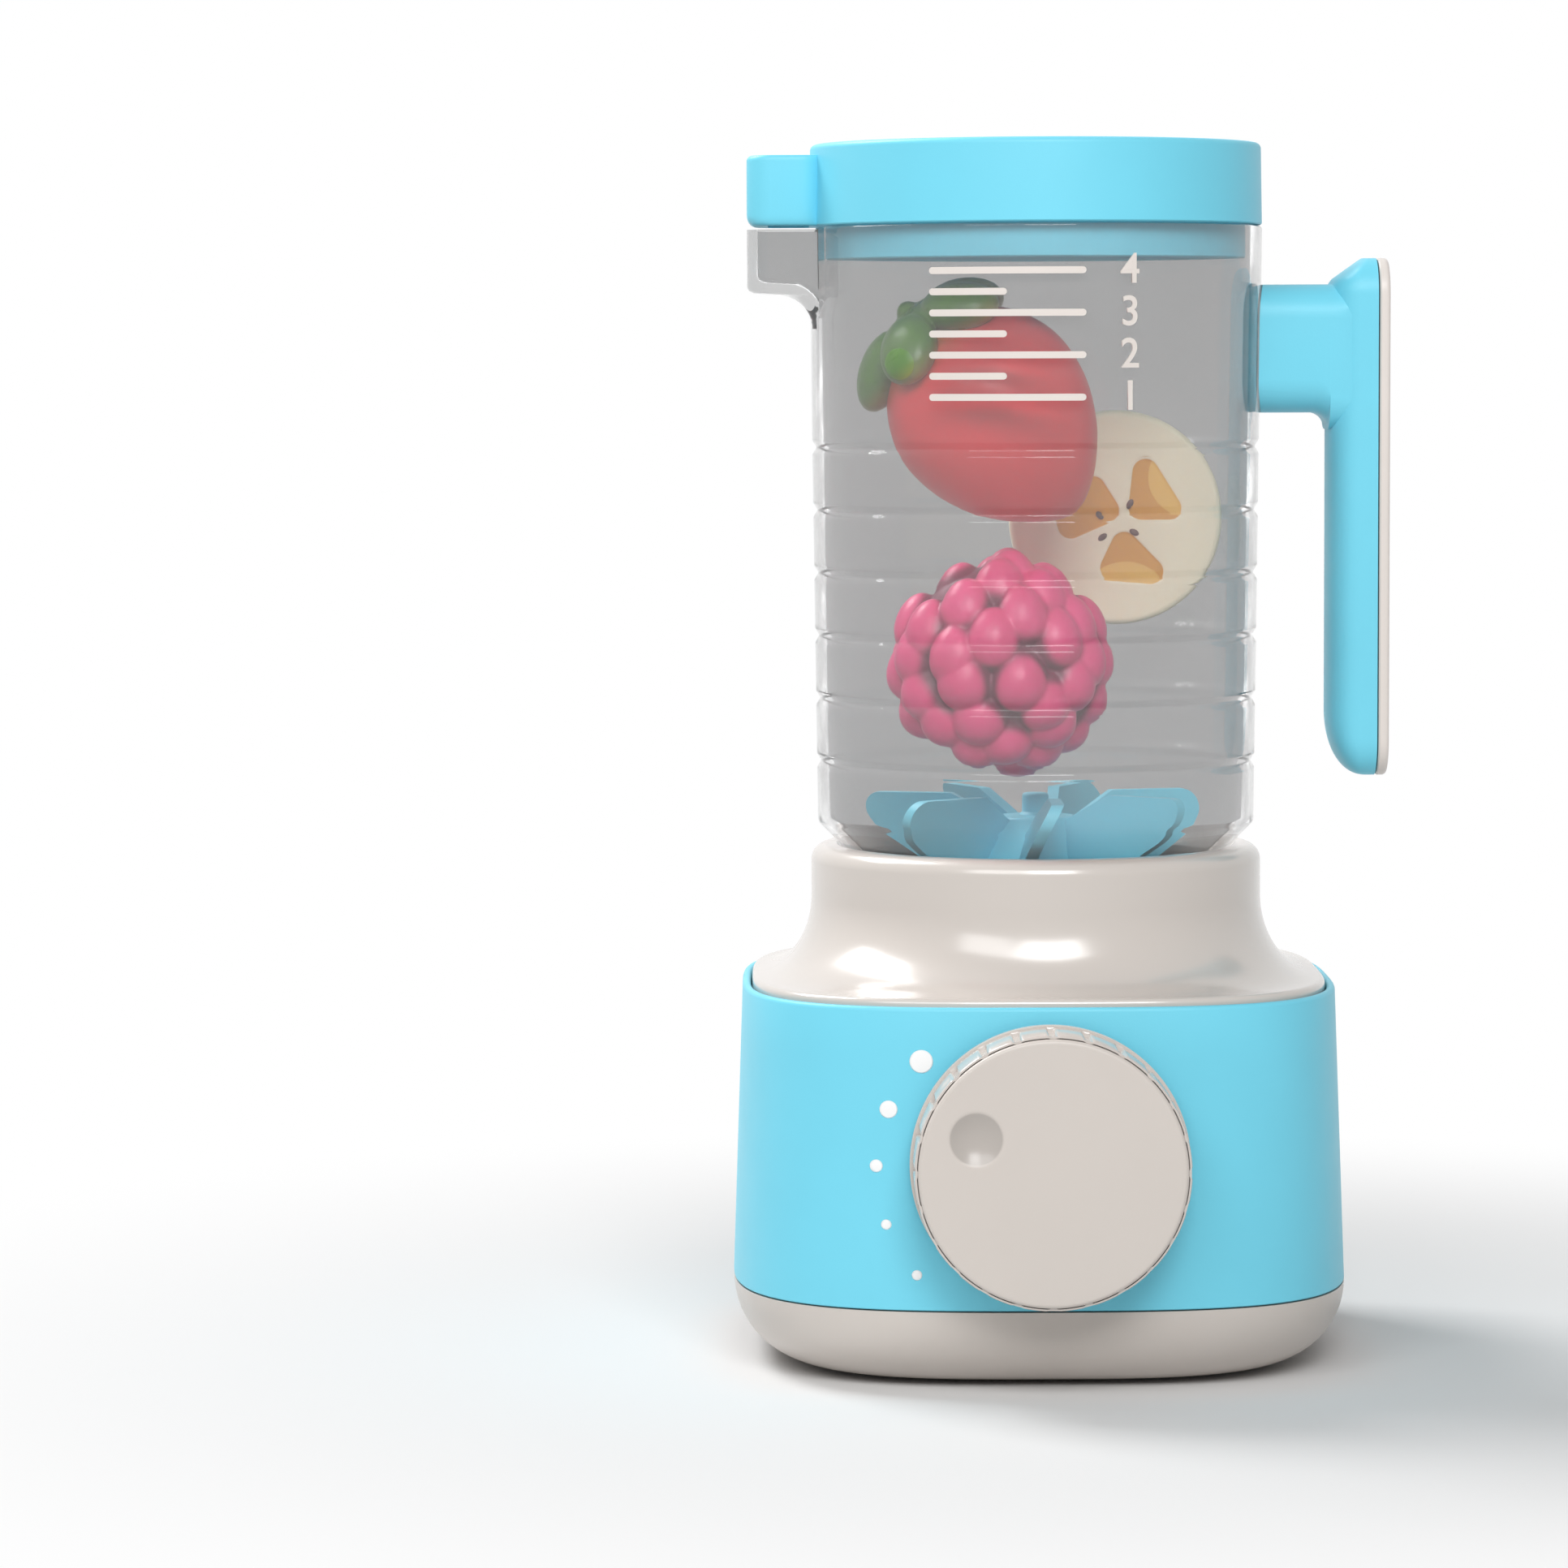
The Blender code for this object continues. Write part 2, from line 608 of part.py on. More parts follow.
def make_base_pan():
    outer = [square_ring(pan_half_width(share), PAN_HEIGHT * share) for share in PAN_HEIGHT_SHARES]
    inner_height = PAN_HEIGHT - PAN_FLOOR
    inner = []
    for share in reversed(PAN_HEIGHT_SHARES):
        height = PAN_FLOOR + inner_height * share
        inner.append(square_ring(pan_half_width(share) - SHELL_WALL, height))
    pan = loft("base_pan", outer + inner, "greige")
    boss_top = PAN_FLOOR + PAN_BOSS_HEIGHT
    for number, (side, end) in enumerate(FOUR_CORNERS, start=1):
        place = (side * POST_X, end * POST_Y)
        middle = PAN_FLOOR / 2
        boss = cylinder(f"pan_boss_{number}", PAN_BOSS_RADIUS, middle, boss_top, None, place=place)
        join(pan, boss)
    door_boss_top = PAN_FLOOR + DOOR_BOSS_HEIGHT
    place = (door_screw_x(), 0)
    door_boss = cylinder("door_boss", DOOR_BOSS_RADIUS, PAN_FLOOR / 2, door_boss_top, None, place=place)
    join(pan, door_boss)
    for number, (side, end) in enumerate(FOUR_CORNERS, start=1):
        place = (side * POST_X, end * POST_Y)
        head_hole_radius = BASE_SCREW_HEAD_RADIUS + SEAT_GAP
        head_hole_top = BASE_SCREW_RECESS + BASE_SCREW_HEAD_HEIGHT + SEAT_GAP
        head_hole = cylinder(
            f"pan_head_hole_{number}", head_hole_radius, -CUT_OVERRUN, head_hole_top, None, place=place
        )
        cut(pan, head_hole)
        shank_hole_radius = BASE_SCREW_RADIUS + SEAT_GAP
        shank_hole = cylinder(
            f"pan_shank_hole_{number}",
            shank_hole_radius,
            BASE_SCREW_RECESS,
            boss_top + CUT_OVERRUN,
            None,
            place=place,
        )
        cut(pan, shank_hole)
        foot_place = (side * FOOT_OFFSET, end * FOOT_OFFSET)
        foot_hole = cylinder(
            f"foot_hole_{number}", FOOT_RADIUS + SEAT_GAP, -CUT_OVERRUN, FOOT_RECESS, None, place=foot_place
        )
        cut(pan, foot_hole)
    bay = box(
        "bay_opening",
        (-BAY_HALF_LENGTH, -BAY_HALF_WIDTH, -CUT_OVERRUN),
        (BAY_HALF_LENGTH, BAY_HALF_WIDTH, PAN_FLOOR + CUT_OVERRUN),
        None,
    )
    cut(pan, bay)
    outline = door_outline(SEAT_GAP)
    recess = plate("door_recess", [outline], -CUT_OVERRUN, DOOR_THICKNESS + SEAT_GAP, None)
    cut(pan, recess)
    tap_radius = DOOR_SCREW_RADIUS + SEAT_GAP
    tap_top = door_boss_top + CUT_OVERRUN
    tap = cylinder("door_tap", tap_radius, -CUT_OVERRUN, tap_top, None, place=(door_screw_x(), 0))
    cut(pan, tap)


def door_screw_x():
    return BAY_HALF_LENGTH + BAY_WALL + SEAT_GAP + DOOR_BOSS_RADIUS


def door_outline(margin):
    low = (-BAY_HALF_LENGTH - DOOR_MARGIN - margin, -BAY_HALF_WIDTH - DOOR_MARGIN - margin)
    high = (BAY_HALF_LENGTH + DOOR_MARGIN + DOOR_TAIL + margin, BAY_HALF_WIDTH + DOOR_MARGIN + margin)
    return rounded_rectangle(low, high, DOOR_CORNER + margin)


def make_battery_door():
    door = plate("battery_door", [door_outline(0.0)], 0.0, DOOR_THICKNESS, "greige")
    place = (door_screw_x(), 0)
    head_radius = DOOR_SCREW_HEAD_RADIUS + SEAT_GAP
    head_depth = DOOR_SCREW_HEAD_HEIGHT + SEAT_GAP
    head_hole = cylinder("door_head_hole", head_radius, -CUT_OVERRUN, head_depth, None, place=place)
    cut(door, head_hole)
    shank_radius = DOOR_SCREW_RADIUS + SEAT_GAP
    shank_top = DOOR_THICKNESS + CUT_OVERRUN
    shank_hole = cylinder("door_shank_hole", shank_radius, -CUT_OVERRUN, shank_top, None, place=place)
    cut(door, shank_hole)
    fastener = screw(
        "battery_door_screw",
        DOOR_SCREW_HEAD_RADIUS,
        DOOR_SCREW_HEAD_HEIGHT,
        DOOR_SCREW_RADIUS,
        DOOR_SCREW_LENGTH,
    )
    fastener.location = (door_screw_x(), 0, DOOR_SCREW_HEAD_HEIGHT)


def make_feet():
    profile = [
        (0.0, FOOT_RECESS - SEAT_GAP),
        (FOOT_RADIUS, FOOT_RECESS - SEAT_GAP),
        (FOOT_RADIUS, FOOT_ROUND - FOOT_STANDOFF),
        (FOOT_RADIUS - FOOT_ROUND, -FOOT_STANDOFF),
        (0.0, -FOOT_STANDOFF),
    ]
    for number, (side, end) in enumerate(FOUR_CORNERS, start=1):
        foot = turned(f"foot_{number}", profile, "rubber", SMALL_SEGMENTS)
        foot.location = (side * FOOT_OFFSET, end * FOOT_OFFSET, 0)


def make_base_screws():
    for number, (side, end) in enumerate(FOUR_CORNERS, start=1):
        fastener = screw(
            f"base_screw_{number}",
            BASE_SCREW_HEAD_RADIUS,
            BASE_SCREW_HEAD_HEIGHT,
            BASE_SCREW_RADIUS,
            BASE_SCREW_LENGTH,
        )
        seat = BASE_SCREW_RECESS + BASE_SCREW_HEAD_HEIGHT
        fastener.location = (side * POST_X, end * POST_Y, seat)


def make_base_body():
    rim_inner = BASE_TOP_HALF_WIDTH - RIM_WIDTH
    rim_round = RIM_WIDTH / 2
    ledge_z = RIM_Z - RIM_DEPTH
    ledge_under_z = ledge_z - LEDGE_THICKNESS
    ledge_foot_z = ledge_under_z - LEDGE_WIDTH
    middle_z = (SEAM_Z + RIM_Z) / 2
    rings = [
        square_ring(sleeve_half_width(BODY_BOTTOM_Z), BODY_BOTTOM_Z),
        square_ring(sleeve_half_width(middle_z), middle_z),
        square_ring(sleeve_half_width(RIM_Z - rim_round), RIM_Z - rim_round),
    ]
    for radius, height in arc((rim_inner + rim_round, RIM_Z - rim_round), rim_round, 30, 150, 4):
        rings.append(square_ring(radius, height))
    rings += [
        square_ring(rim_inner, RIM_Z - rim_round),
        square_ring(rim_inner, ledge_z),
        square_ring(rim_inner - LEDGE_WIDTH, ledge_z),
        square_ring(rim_inner - LEDGE_WIDTH, ledge_under_z),
        square_ring(sleeve_half_width(ledge_foot_z) - SHELL_WALL, ledge_foot_z),
        square_ring(sleeve_half_width(middle_z) - SHELL_WALL, middle_z),
        square_ring(sleeve_half_width(BODY_BOTTOM_Z) - SHELL_WALL, BODY_BOTTOM_Z),
    ]
    body = loft("base_body", rings, "turquoise", looped=True)
    board_front = board_y() - SEAT_GAP
    for number, (x, z) in enumerate(board_boss_places(), start=1):
        foot_y = front_wall_y(x, z) + SHELL_WALL / 2
        boss = front_cylinder(f"board_boss_{number}", BOARD_BOSS_RADIUS, x, z, foot_y, board_front, None)
        join(body, boss)
        hole_radius = BOARD_SCREW_RADIUS + SEAT_GAP
        hole_y = board_front - BOARD_SCREW_LENGTH
        hole_end = board_front + CUT_OVERRUN
        hole = front_cylinder(f"board_boss_hole_{number}", hole_radius, x, z, hole_y, hole_end, None)
        cut(body, hole)
    wall_front = front_wall_y(0, SEAM_Z) - CUT_OVERRUN
    wall_back = front_wall_y(0, RIM_Z) + SHELL_WALL + CUT_OVERRUN
    shaft_hole_radius = DIAL_SHAFT_RADIUS + SEAT_GAP
    shaft_hole = front_cylinder(
        "dial_shaft_hole", shaft_hole_radius, 0, DIAL_Z, wall_front, wall_back, None, MEDIUM_SEGMENTS
    )
    cut(body, shaft_hole)
    for number, (x, z, radius) in enumerate(light_places(), start=1):
        hole_front = front_wall_y(x, z) - CUT_OVERRUN
        hole_back = light_strip_y() + CUT_OVERRUN
        hole = front_cylinder(f"light_hole_{number}", radius + SHAFT_GAP, x, z, hole_front, hole_back, None)
        cut(body, hole)


def front_cylinder(name, radius, x, z, front, back, material, segments=SMALL_SEGMENTS):
    """Cylinder along Y at a place across and a height, between two depths."""
    rod = cylinder(name, radius, -back, -front, material, segments)
    rod.rotation_euler = (math.pi / 2, 0, 0)
    rod.location = (x, 0, z)
    return rod


def flare_ring(share, inset):
    """Ring of the collar's flare, from the round neck (0) to the square-round edge (1)."""
    edge = BASE_TOP_HALF_WIDTH - RIM_WIDTH - SEAT_GAP - COLLAR_EDGE_ROUND
    turn = share * math.pi / 2
    spread = 1 - math.cos(turn)
    half_width = COLLAR_RADIUS + (edge - COLLAR_RADIUS) * spread - inset
    height = RIM_Z + COLLAR_EDGE_STEP + FLARE_HEIGHT - (FLARE_HEIGHT + inset) * math.sin(turn)
    squareness = 2 + (SQUARENESS - 2) * spread
    return square_ring(half_width, height, squareness)


def make_base_collar():
    cup_outer = CUP_RADIUS + SHELL_WALL
    hollow_top = LIP_Z - LIP_THICKNESS
    edge = BASE_TOP_HALF_WIDTH - RIM_WIDTH - SEAT_GAP
    edge_top = RIM_Z + COLLAR_EDGE_STEP
    edge_bottom = RIM_Z - RIM_DEPTH + SEAT_GAP
    edge_cut = COLLAR_EDGE_ROUND * EDGE_CORNER_SHARE
    rings = [
        round_ring(cup_outer, CUP_FLOOR_Z - SHELL_WALL),
        round_ring(cup_outer, hollow_top),
        round_ring(COLLAR_RADIUS - SHELL_WALL, hollow_top),
    ]
    rings += [flare_ring(share, SHELL_WALL) for share in FLARE_SHARES]
    rings += [
        square_ring(edge - SHELL_WALL, edge_bottom),
        square_ring(edge, edge_bottom),
        square_ring(edge, edge_top - COLLAR_EDGE_ROUND),
        square_ring(edge - edge_cut, edge_top - edge_cut),
    ]
    rings += [flare_ring(share, 0.0) for share in reversed(FLARE_SHARES)]
    lip_centre = (COLLAR_RADIUS - LIP_ROUND, LIP_Z - LIP_ROUND)
    rings += [round_ring(radius, height) for radius, height in arc(lip_centre, LIP_ROUND, 0, 90, 4)]
    cone_top = seat_cone_radius(LIP_Z)
    cone_foot_z = LIP_Z - (cone_top - CUP_RADIUS)
    rings += [
        round_ring(cone_top, LIP_Z),
        round_ring(CUP_RADIUS, cone_foot_z),
        round_ring(CUP_RADIUS, CUP_FLOOR_Z),
    ]
    collar = loft("base_collar", rings, "greige")
    post_bottom = PAN_FLOOR + PAN_BOSS_HEIGHT + SEAT_GAP
    post_top = RIM_Z + COLLAR_EDGE_STEP + FLARE_HEIGHT * POST_TOP_SHARE
    for number, (side, end) in enumerate(FOUR_CORNERS, start=1):
        place = (side * POST_X, end * POST_Y)
        post = cylinder(f"collar_post_{number}", POST_RADIUS, post_bottom, post_top, None, place=place)
        join(collar, post)
        pilot_top = BASE_SCREW_RECESS + BASE_SCREW_HEAD_HEIGHT + BASE_SCREW_LENGTH + CUT_OVERRUN
        pilot_radius = BASE_SCREW_RADIUS + SEAT_GAP
        pilot = cylinder(
            f"collar_pilot_{number}", pilot_radius, post_bottom - CUT_OVERRUN, pilot_top, None, place=place
        )
        cut(collar, pilot)
    bearing_hole = cylinder(
        "cup_bearing_hole",
        CUP_BEARING_RADIUS + SEAT_GAP,
        CUP_FLOOR_Z - SHELL_WALL - CUT_OVERRUN,
        CUP_FLOOR_Z + CUT_OVERRUN,
        None,
        MEDIUM_SEGMENTS,
    )
    cut(collar, bearing_hole)


def seat_cone_radius(height):
    """Radius of the cup's 45-degree seat at a height, a seat gap outside the jug's shoulder."""
    return JUG_BOTTOM_RADIUS - (SHOULDER_Z - height) + SEAT_GAP * math.sqrt(2)


def make_battery_box():
    outer = box(
        "battery_box",
        (-BAY_HALF_LENGTH - BAY_WALL, -BAY_HALF_WIDTH - BAY_WALL, BAY_BOTTOM_Z),
        (BAY_HALF_LENGTH + BAY_WALL, BAY_HALF_WIDTH + BAY_WALL, BAY_TOP_Z),
        "black",
    )
    inner = box(
        "battery_box_inside",
        (-BAY_HALF_LENGTH, -BAY_HALF_WIDTH, BAY_BOTTOM_Z - CUT_OVERRUN),
        (BAY_HALF_LENGTH, BAY_HALF_WIDTH, BAY_ROOF_Z),
        None,
    )
    cut(outer, inner)


def make_batteries():
    half = CELL_LENGTH / 2
    shoulder = half - CELL_NUB_HEIGHT
    profile = [
        (0.0, half),
        (CELL_NUB_RADIUS, half),
        (CELL_NUB_RADIUS, shoulder),
        (CELL_RADIUS * CELL_SHOULDER_SHARE, shoulder),
        (CELL_RADIUS, shoulder - CELL_NUB_HEIGHT / 2),
        (CELL_RADIUS, -half),
        (0.0, -half),
    ]
    for number, row in enumerate((-1, 0, 1), start=1):
        cell = turned(f"battery_{number}", profile, "cell", SMALL_SEGMENTS)
        direction = -1 if row == 0 else 1
        cell.rotation_euler = (0, direction * math.pi / 2, 0)
        cell.location = (0, row * CELL_PITCH, CELL_Z)


def make_battery_contacts():
    for name, side in (("battery_contact_left", -1), ("battery_contact_right", 1)):
        outside = side * (BAY_HALF_LENGTH - SEAT_GAP)
        inside = outside - side * CONTACT_THICKNESS
        low = (min(outside, inside), -CELL_PITCH - CELL_RADIUS / 2, CELL_Z - CELL_RADIUS / 2)
        high = (max(outside, inside), CELL_PITCH + CELL_RADIUS / 2, CELL_Z + CELL_RADIUS / 2)
        contact = box(name, low, high, "steel")
        for row in (-1, 0, 1):
            spring = cylinder(
                f"{name}_spring_{row + 2}",
                CONTACT_SPRING_RADIUS,
                -CONTACT_THICKNESS / 2,
                CONTACT_SPRING_LENGTH,
                None,
            )
            spring.rotation_euler = (0, -side * math.pi / 2, 0)
            spring.location = (inside, row * CELL_PITCH, CELL_Z)
            join(contact, spring)


def make_motor():
    top = MOTOR_LENGTH
    bore = MOTOR_SHAFT_RADIUS + SEAT_GAP
    profile = [
        (bore, top - MOTOR_SHAFT_DEPTH - SEAT_GAP),
        (0.0, top - MOTOR_SHAFT_DEPTH - SEAT_GAP),
    ]
    outside = [
        (bore, top),
        (MOTOR_RADIUS - MOTOR_BOSS_HEIGHT, top),
        (MOTOR_RADIUS, top - MOTOR_BOSS_HEIGHT),
        (MOTOR_RADIUS, MOTOR_BOSS_HEIGHT),
        (MOTOR_BOSS_RADIUS, MOTOR_BOSS_HEIGHT),
        (MOTOR_BOSS_RADIUS, 0.0),
        (0.0, 0.0),
    ]
    motor = turned("motor", profile[::-1] + outside, "steel", MEDIUM_SEGMENTS)
    motor.location = (0, MOTOR_Y, MOTOR_Z)


def make_gear_frame():
    back = MOTOR_Y + MOTOR_RADIUS + SEAT_GAP + FRAME_RING_WALL
    frame = box(
        "gear_frame",
        (-FRAME_HALF_WIDTH, -FRAME_FRONT, PLATE_Z),
        (FRAME_HALF_WIDTH, back, PLATE_TOP_Z),
        "acetal",
    )
    leg_back = BAY_HALF_WIDTH + BAY_WALL
    for name, side in (("left", -1), ("right", 1)):
        outside = side * FRAME_HALF_WIDTH
        inside = outside - side * FRAME_LEG_THICKNESS
        low = (min(outside, inside), -FRAME_FRONT, BAY_TOP_Z + SEAT_GAP)
        high = (max(outside, inside), leg_back, PLATE_Z + FRAME_PLATE / 2)
        join(frame, box(f"frame_leg_{name}", low, high, None))
    ring_inner = MOTOR_RADIUS + SEAT_GAP
    ring_bottom = PLATE_Z - FRAME_RING_HEIGHT
    ring_top = PLATE_Z + FRAME_PLATE / 2
    ring_profile = [
        (ring_inner + FRAME_RING_WALL, ring_top),
        (ring_inner + FRAME_RING_WALL, ring_bottom),
        (ring_inner, ring_bottom),
        (ring_inner, ring_top),
    ]
    motor_ring = turned("frame_motor_ring", ring_profile, None, MEDIUM_SEGMENTS, ring=True)
    motor_ring.location = (0, MOTOR_Y, 0)
    join(frame, motor_ring)
    hole_bottom = PLATE_Z - CUT_OVERRUN
    hole_top = PLATE_TOP_Z + CUT_OVERRUN
    bearing_hole = cylinder("frame_bearing_hole", BEARING_RADIUS + SEAT_GAP, hole_bottom, hole_top, None)
    cut(frame, bearing_hole)
    shaft_hole = cylinder(
        "frame_motor_hole", MOTOR_BOSS_RADIUS, hole_bottom, hole_top, None, place=(0, MOTOR_Y)
    )
    cut(frame, shaft_hole)


def flanged_bush(name, bore, radius, flange_radius, flange_bottom, flange, bottom, segments):
    """Bearing bush whose flange rests on its carrier and whose body hangs into the hole."""
    profile = [
        (flange_radius, flange_bottom + flange),
        (flange_radius, flange_bottom),
        (radius, flange_bottom),
        (radius, bottom),
        (bore, bottom),
        (bore, flange_bottom + flange),
    ]
    return turned(name, profile, "brass", segments, ring=True)


def make_bearings():
    flanged_bush(
        "lower_bearing",
        DRIVE_SHAFT_RADIUS + SHAFT_GAP,
        BEARING_RADIUS,
        BEARING_FLANGE_RADIUS,
        PLATE_TOP_Z + SEAT_GAP,
        BEARING_FLANGE,
        PLATE_Z,
        SMALL_SEGMENTS,
    )
    flanged_bush(
        "upper_bearing",
        DRIVE_SHAFT_RADIUS + SHAFT_GAP,
        CUP_BEARING_RADIUS,
        CUP_BEARING_FLANGE_RADIUS,
        CUP_FLOOR_Z + SEAT_GAP,
        CUP_BEARING_FLANGE,
        CUP_FLOOR_Z - 2 * SHELL_WALL,
        MEDIUM_SEGMENTS,
    )
    flanged_bush(
        "blade_bearing",
        BLADE_SHAFT_RADIUS + SHAFT_GAP,
        BLADE_BEARING_RADIUS,
        BLADE_BEARING_FLANGE_RADIUS,
        JUG_FLOOR_Z + SEAT_GAP,
        BLADE_BEARING_FLANGE,
        BLADE_BEARING_BOTTOM_Z,
        MEDIUM_SEGMENTS,
    )


def involute(angle):
    return math.tan(angle) - angle


def gear_outline(teeth, turn):
    """Outline of an involute gear with one tooth centred on the turn angle."""
    pitch_radius = GEAR_MODULE * teeth / 2
    base_radius = pitch_radius * math.cos(PRESSURE_ANGLE)
    tip_radius = pitch_radius + ADDENDUM_SHARE * GEAR_MODULE
    root_radius = pitch_radius - DEDENDUM_SHARE * GEAR_MODULE
    half_tooth = math.pi / (2 * teeth) - GEAR_BACKLASH / (2 * pitch_radius)
    flank = []
    for radius in (root_radius, pitch_radius, tip_radius):
        reached = max(radius, base_radius)
        spread = involute(PRESSURE_ANGLE) - involute(math.acos(base_radius / reached))
        flank.append((radius, half_tooth + spread))
    outline = []
    for tooth in range(teeth):
        middle = turn + math.tau * tooth / teeth
        corners = [(radius, middle - angle) for radius, angle in flank]
        corners += [(radius, middle + angle) for radius, angle in reversed(flank)]
        outline += [(radius * math.cos(angle), radius * math.sin(angle)) for radius, angle in corners]
    return outline


def make_gears():
    toward_motor = math.pi / 2
    bore = circle(DRIVE_SHAFT_RADIUS + SHAFT_GAP, SMALL_SEGMENTS)
    gear = plate(
        "drive_gear",
        [gear_outline(GEAR_TEETH, toward_motor), bore],
        GEAR_Z,
        GEAR_Z + GEAR_WIDTH,
        "acetal",
    )
    hub_top = GEAR_Z + GEAR_WIDTH + GEAR_HUB_HEIGHT
    hub_profile = [
        (GEAR_HUB_RADIUS, hub_top),
        (GEAR_HUB_RADIUS, GEAR_Z + GEAR_WIDTH / 2),
        (DRIVE_SHAFT_RADIUS + SHAFT_GAP, GEAR_Z + GEAR_WIDTH / 2),
        (DRIVE_SHAFT_RADIUS + SHAFT_GAP, hub_top),
    ]
    join(gear, turned("gear_hub", hub_profile, None, SMALL_SEGMENTS, ring=True))
    half_pitch = math.pi / PINION_TEETH
    pinion_bore = circle(MOTOR_SHAFT_RADIUS + SHAFT_GAP, SMALL_SEGMENTS)
    pinion = plate(
        "motor_pinion",
        [gear_outline(PINION_TEETH, -toward_motor + half_pitch), pinion_bore],
        GEAR_Z - SEAT_GAP,
        GEAR_Z + GEAR_WIDTH + SEAT_GAP,
        "brass",
    )
    pinion.location = (0, MOTOR_Y, 0)
    shaft_bottom = MOTOR_Z + MOTOR_LENGTH - MOTOR_SHAFT_DEPTH
    shaft_top = GEAR_Z + GEAR_WIDTH + GEAR_HUB_HEIGHT
    place = (0, MOTOR_Y)
    cylinder("motor_shaft", MOTOR_SHAFT_RADIUS, shaft_bottom, shaft_top, "steel", place=place)


def lug_outline(start):
    """Sector between the lugs' inner and the coupler's outer radius."""
    span = 360 / COUPLER_LUGS * COUPLER_LUG_SHARE
    outline = arc((0, 0), COUPLER_RADIUS, start, start + span, 4)
    outline += arc((0, 0), COUPLER_LUG_INNER_RADIUS, start + span, start, 3)
    return outline


def make_coupler(name, bore, disc_bottom, lug_bottom, lug_top, first_angle):
    disc_outline = [circle(COUPLER_RADIUS, MEDIUM_SEGMENTS), circle(bore, SMALL_SEGMENTS)]
    coupler = plate(name, disc_outline, disc_bottom, disc_bottom + COUPLER_DISC, "acetal")
    for number in range(COUPLER_LUGS):
        start = first_angle + 360 * number / COUPLER_LUGS
        lug = plate(f"{name}_lug_{number + 1}", [lug_outline(start)], lug_bottom, lug_top, None)
        join(coupler, lug)


def make_drive_line():
    make_coupler(
        "drive_coupler",
        DRIVE_SHAFT_RADIUS + SHAFT_GAP,
        DRIVE_DISC_Z,
        DRIVE_DISC_Z + COUPLER_DISC / 2,
        BLADE_DISC_Z - SEAT_GAP,
        0,
    )
    make_coupler(
        "blade_coupler",
        BLADE_SHAFT_RADIUS + SHAFT_GAP,
        BLADE_DISC_Z,
        DRIVE_DISC_TOP_Z + SEAT_GAP,
        BLADE_DISC_Z + COUPLER_DISC / 2,
        180 / COUPLER_LUGS,
    )
    cylinder("drive_shaft", DRIVE_SHAFT_RADIUS, PLATE_Z - SEAT_GAP, DRIVE_DISC_TOP_Z, "steel")
    blade_shaft_top = HUB_Z + HUB_HEIGHT - HUB_CAP - SEAT_GAP
    cylinder("blade_shaft", BLADE_SHAFT_RADIUS, BLADE_DISC_Z, blade_shaft_top, "steel")


def blade_section(angle, share, tip_share, root_share):
    """Thin rectangle seen from above: one level of a vane that leans and bows as it rises."""
    height = HUB_Z + BLADE_HEIGHT * share
    lean_share = share ** BLADE_LEAN_EXPONENT
    outer = BLADE_FOOT_RADIUS + (BLADE_TIP_RADIUS - BLADE_FOOT_RADIUS) * tip_share
    root = HUB_TOP_RADIUS / 2
    inner = root + (BLADE_INNER_TOP_RADIUS - root) * root_share
    aside = BLADE_LEAN * lean_share - BLADE_LEAN / 2
    half = BLADE_THICKNESS / 2
    corners = [(inner, aside - half), (outer, aside - half), (outer, aside + half), (inner, aside + half)]
    ring = []
    for along, across in corners:
        x = along * math.cos(angle) - across * math.sin(angle)
        y = along * math.sin(angle) + across * math.cos(angle)
        ring.append(Vector((x, y, height)))
    return ring


def make_blade_rotor():
    crown = HUB_Z + HUB_HEIGHT
    bore = BLADE_SHAFT_RADIUS + SHAFT_GAP
    nub_top = crown + NUB_HEIGHT
    profile = [
        (0.0, nub_top),
        (NUB_RADIUS - HUB_EDGE, nub_top),
        (NUB_RADIUS, nub_top - HUB_EDGE),
        (NUB_RADIUS, crown),
        (HUB_TOP_RADIUS - HUB_EDGE, crown),
        (HUB_TOP_RADIUS, crown - HUB_EDGE),
        (HUB_RADIUS, HUB_Z + HUB_EDGE),
        (HUB_RADIUS, HUB_Z),
        (bore, HUB_Z),
        (bore, crown - HUB_CAP),
        (0.0, crown - HUB_CAP),
    ]
    rotor = turned("blade_rotor", profile, "turquoise", MEDIUM_SEGMENTS)
    for number in range(BLADE_COUNT):
        angle = -math.pi / 2 + math.tau * number / BLADE_COUNT
        levels = zip(BLADE_HEIGHT_SHARES, BLADE_TIP_SHARES, BLADE_ROOT_SHARES)
        rings = [blade_section(angle, *level) for level in levels]
        join(rotor, loft(f"vane_{number + 1}", rings, None))
    bore_top = crown - HUB_CAP
    shaft_hole = cylinder("rotor_bore", bore, HUB_Z - CUT_OVERRUN, bore_top, None, MEDIUM_SEGMENTS)
    cut(rotor, shaft_hole)


def dial_place():
    """Centre of the dial's back plane, clear of the leaning front wall."""
    lowest = front_wall_y(0, DIAL_Z - DIAL_FLANGE_RADIUS)
    return (0, lowest - DIAL_WALL_GAP, DIAL_Z)


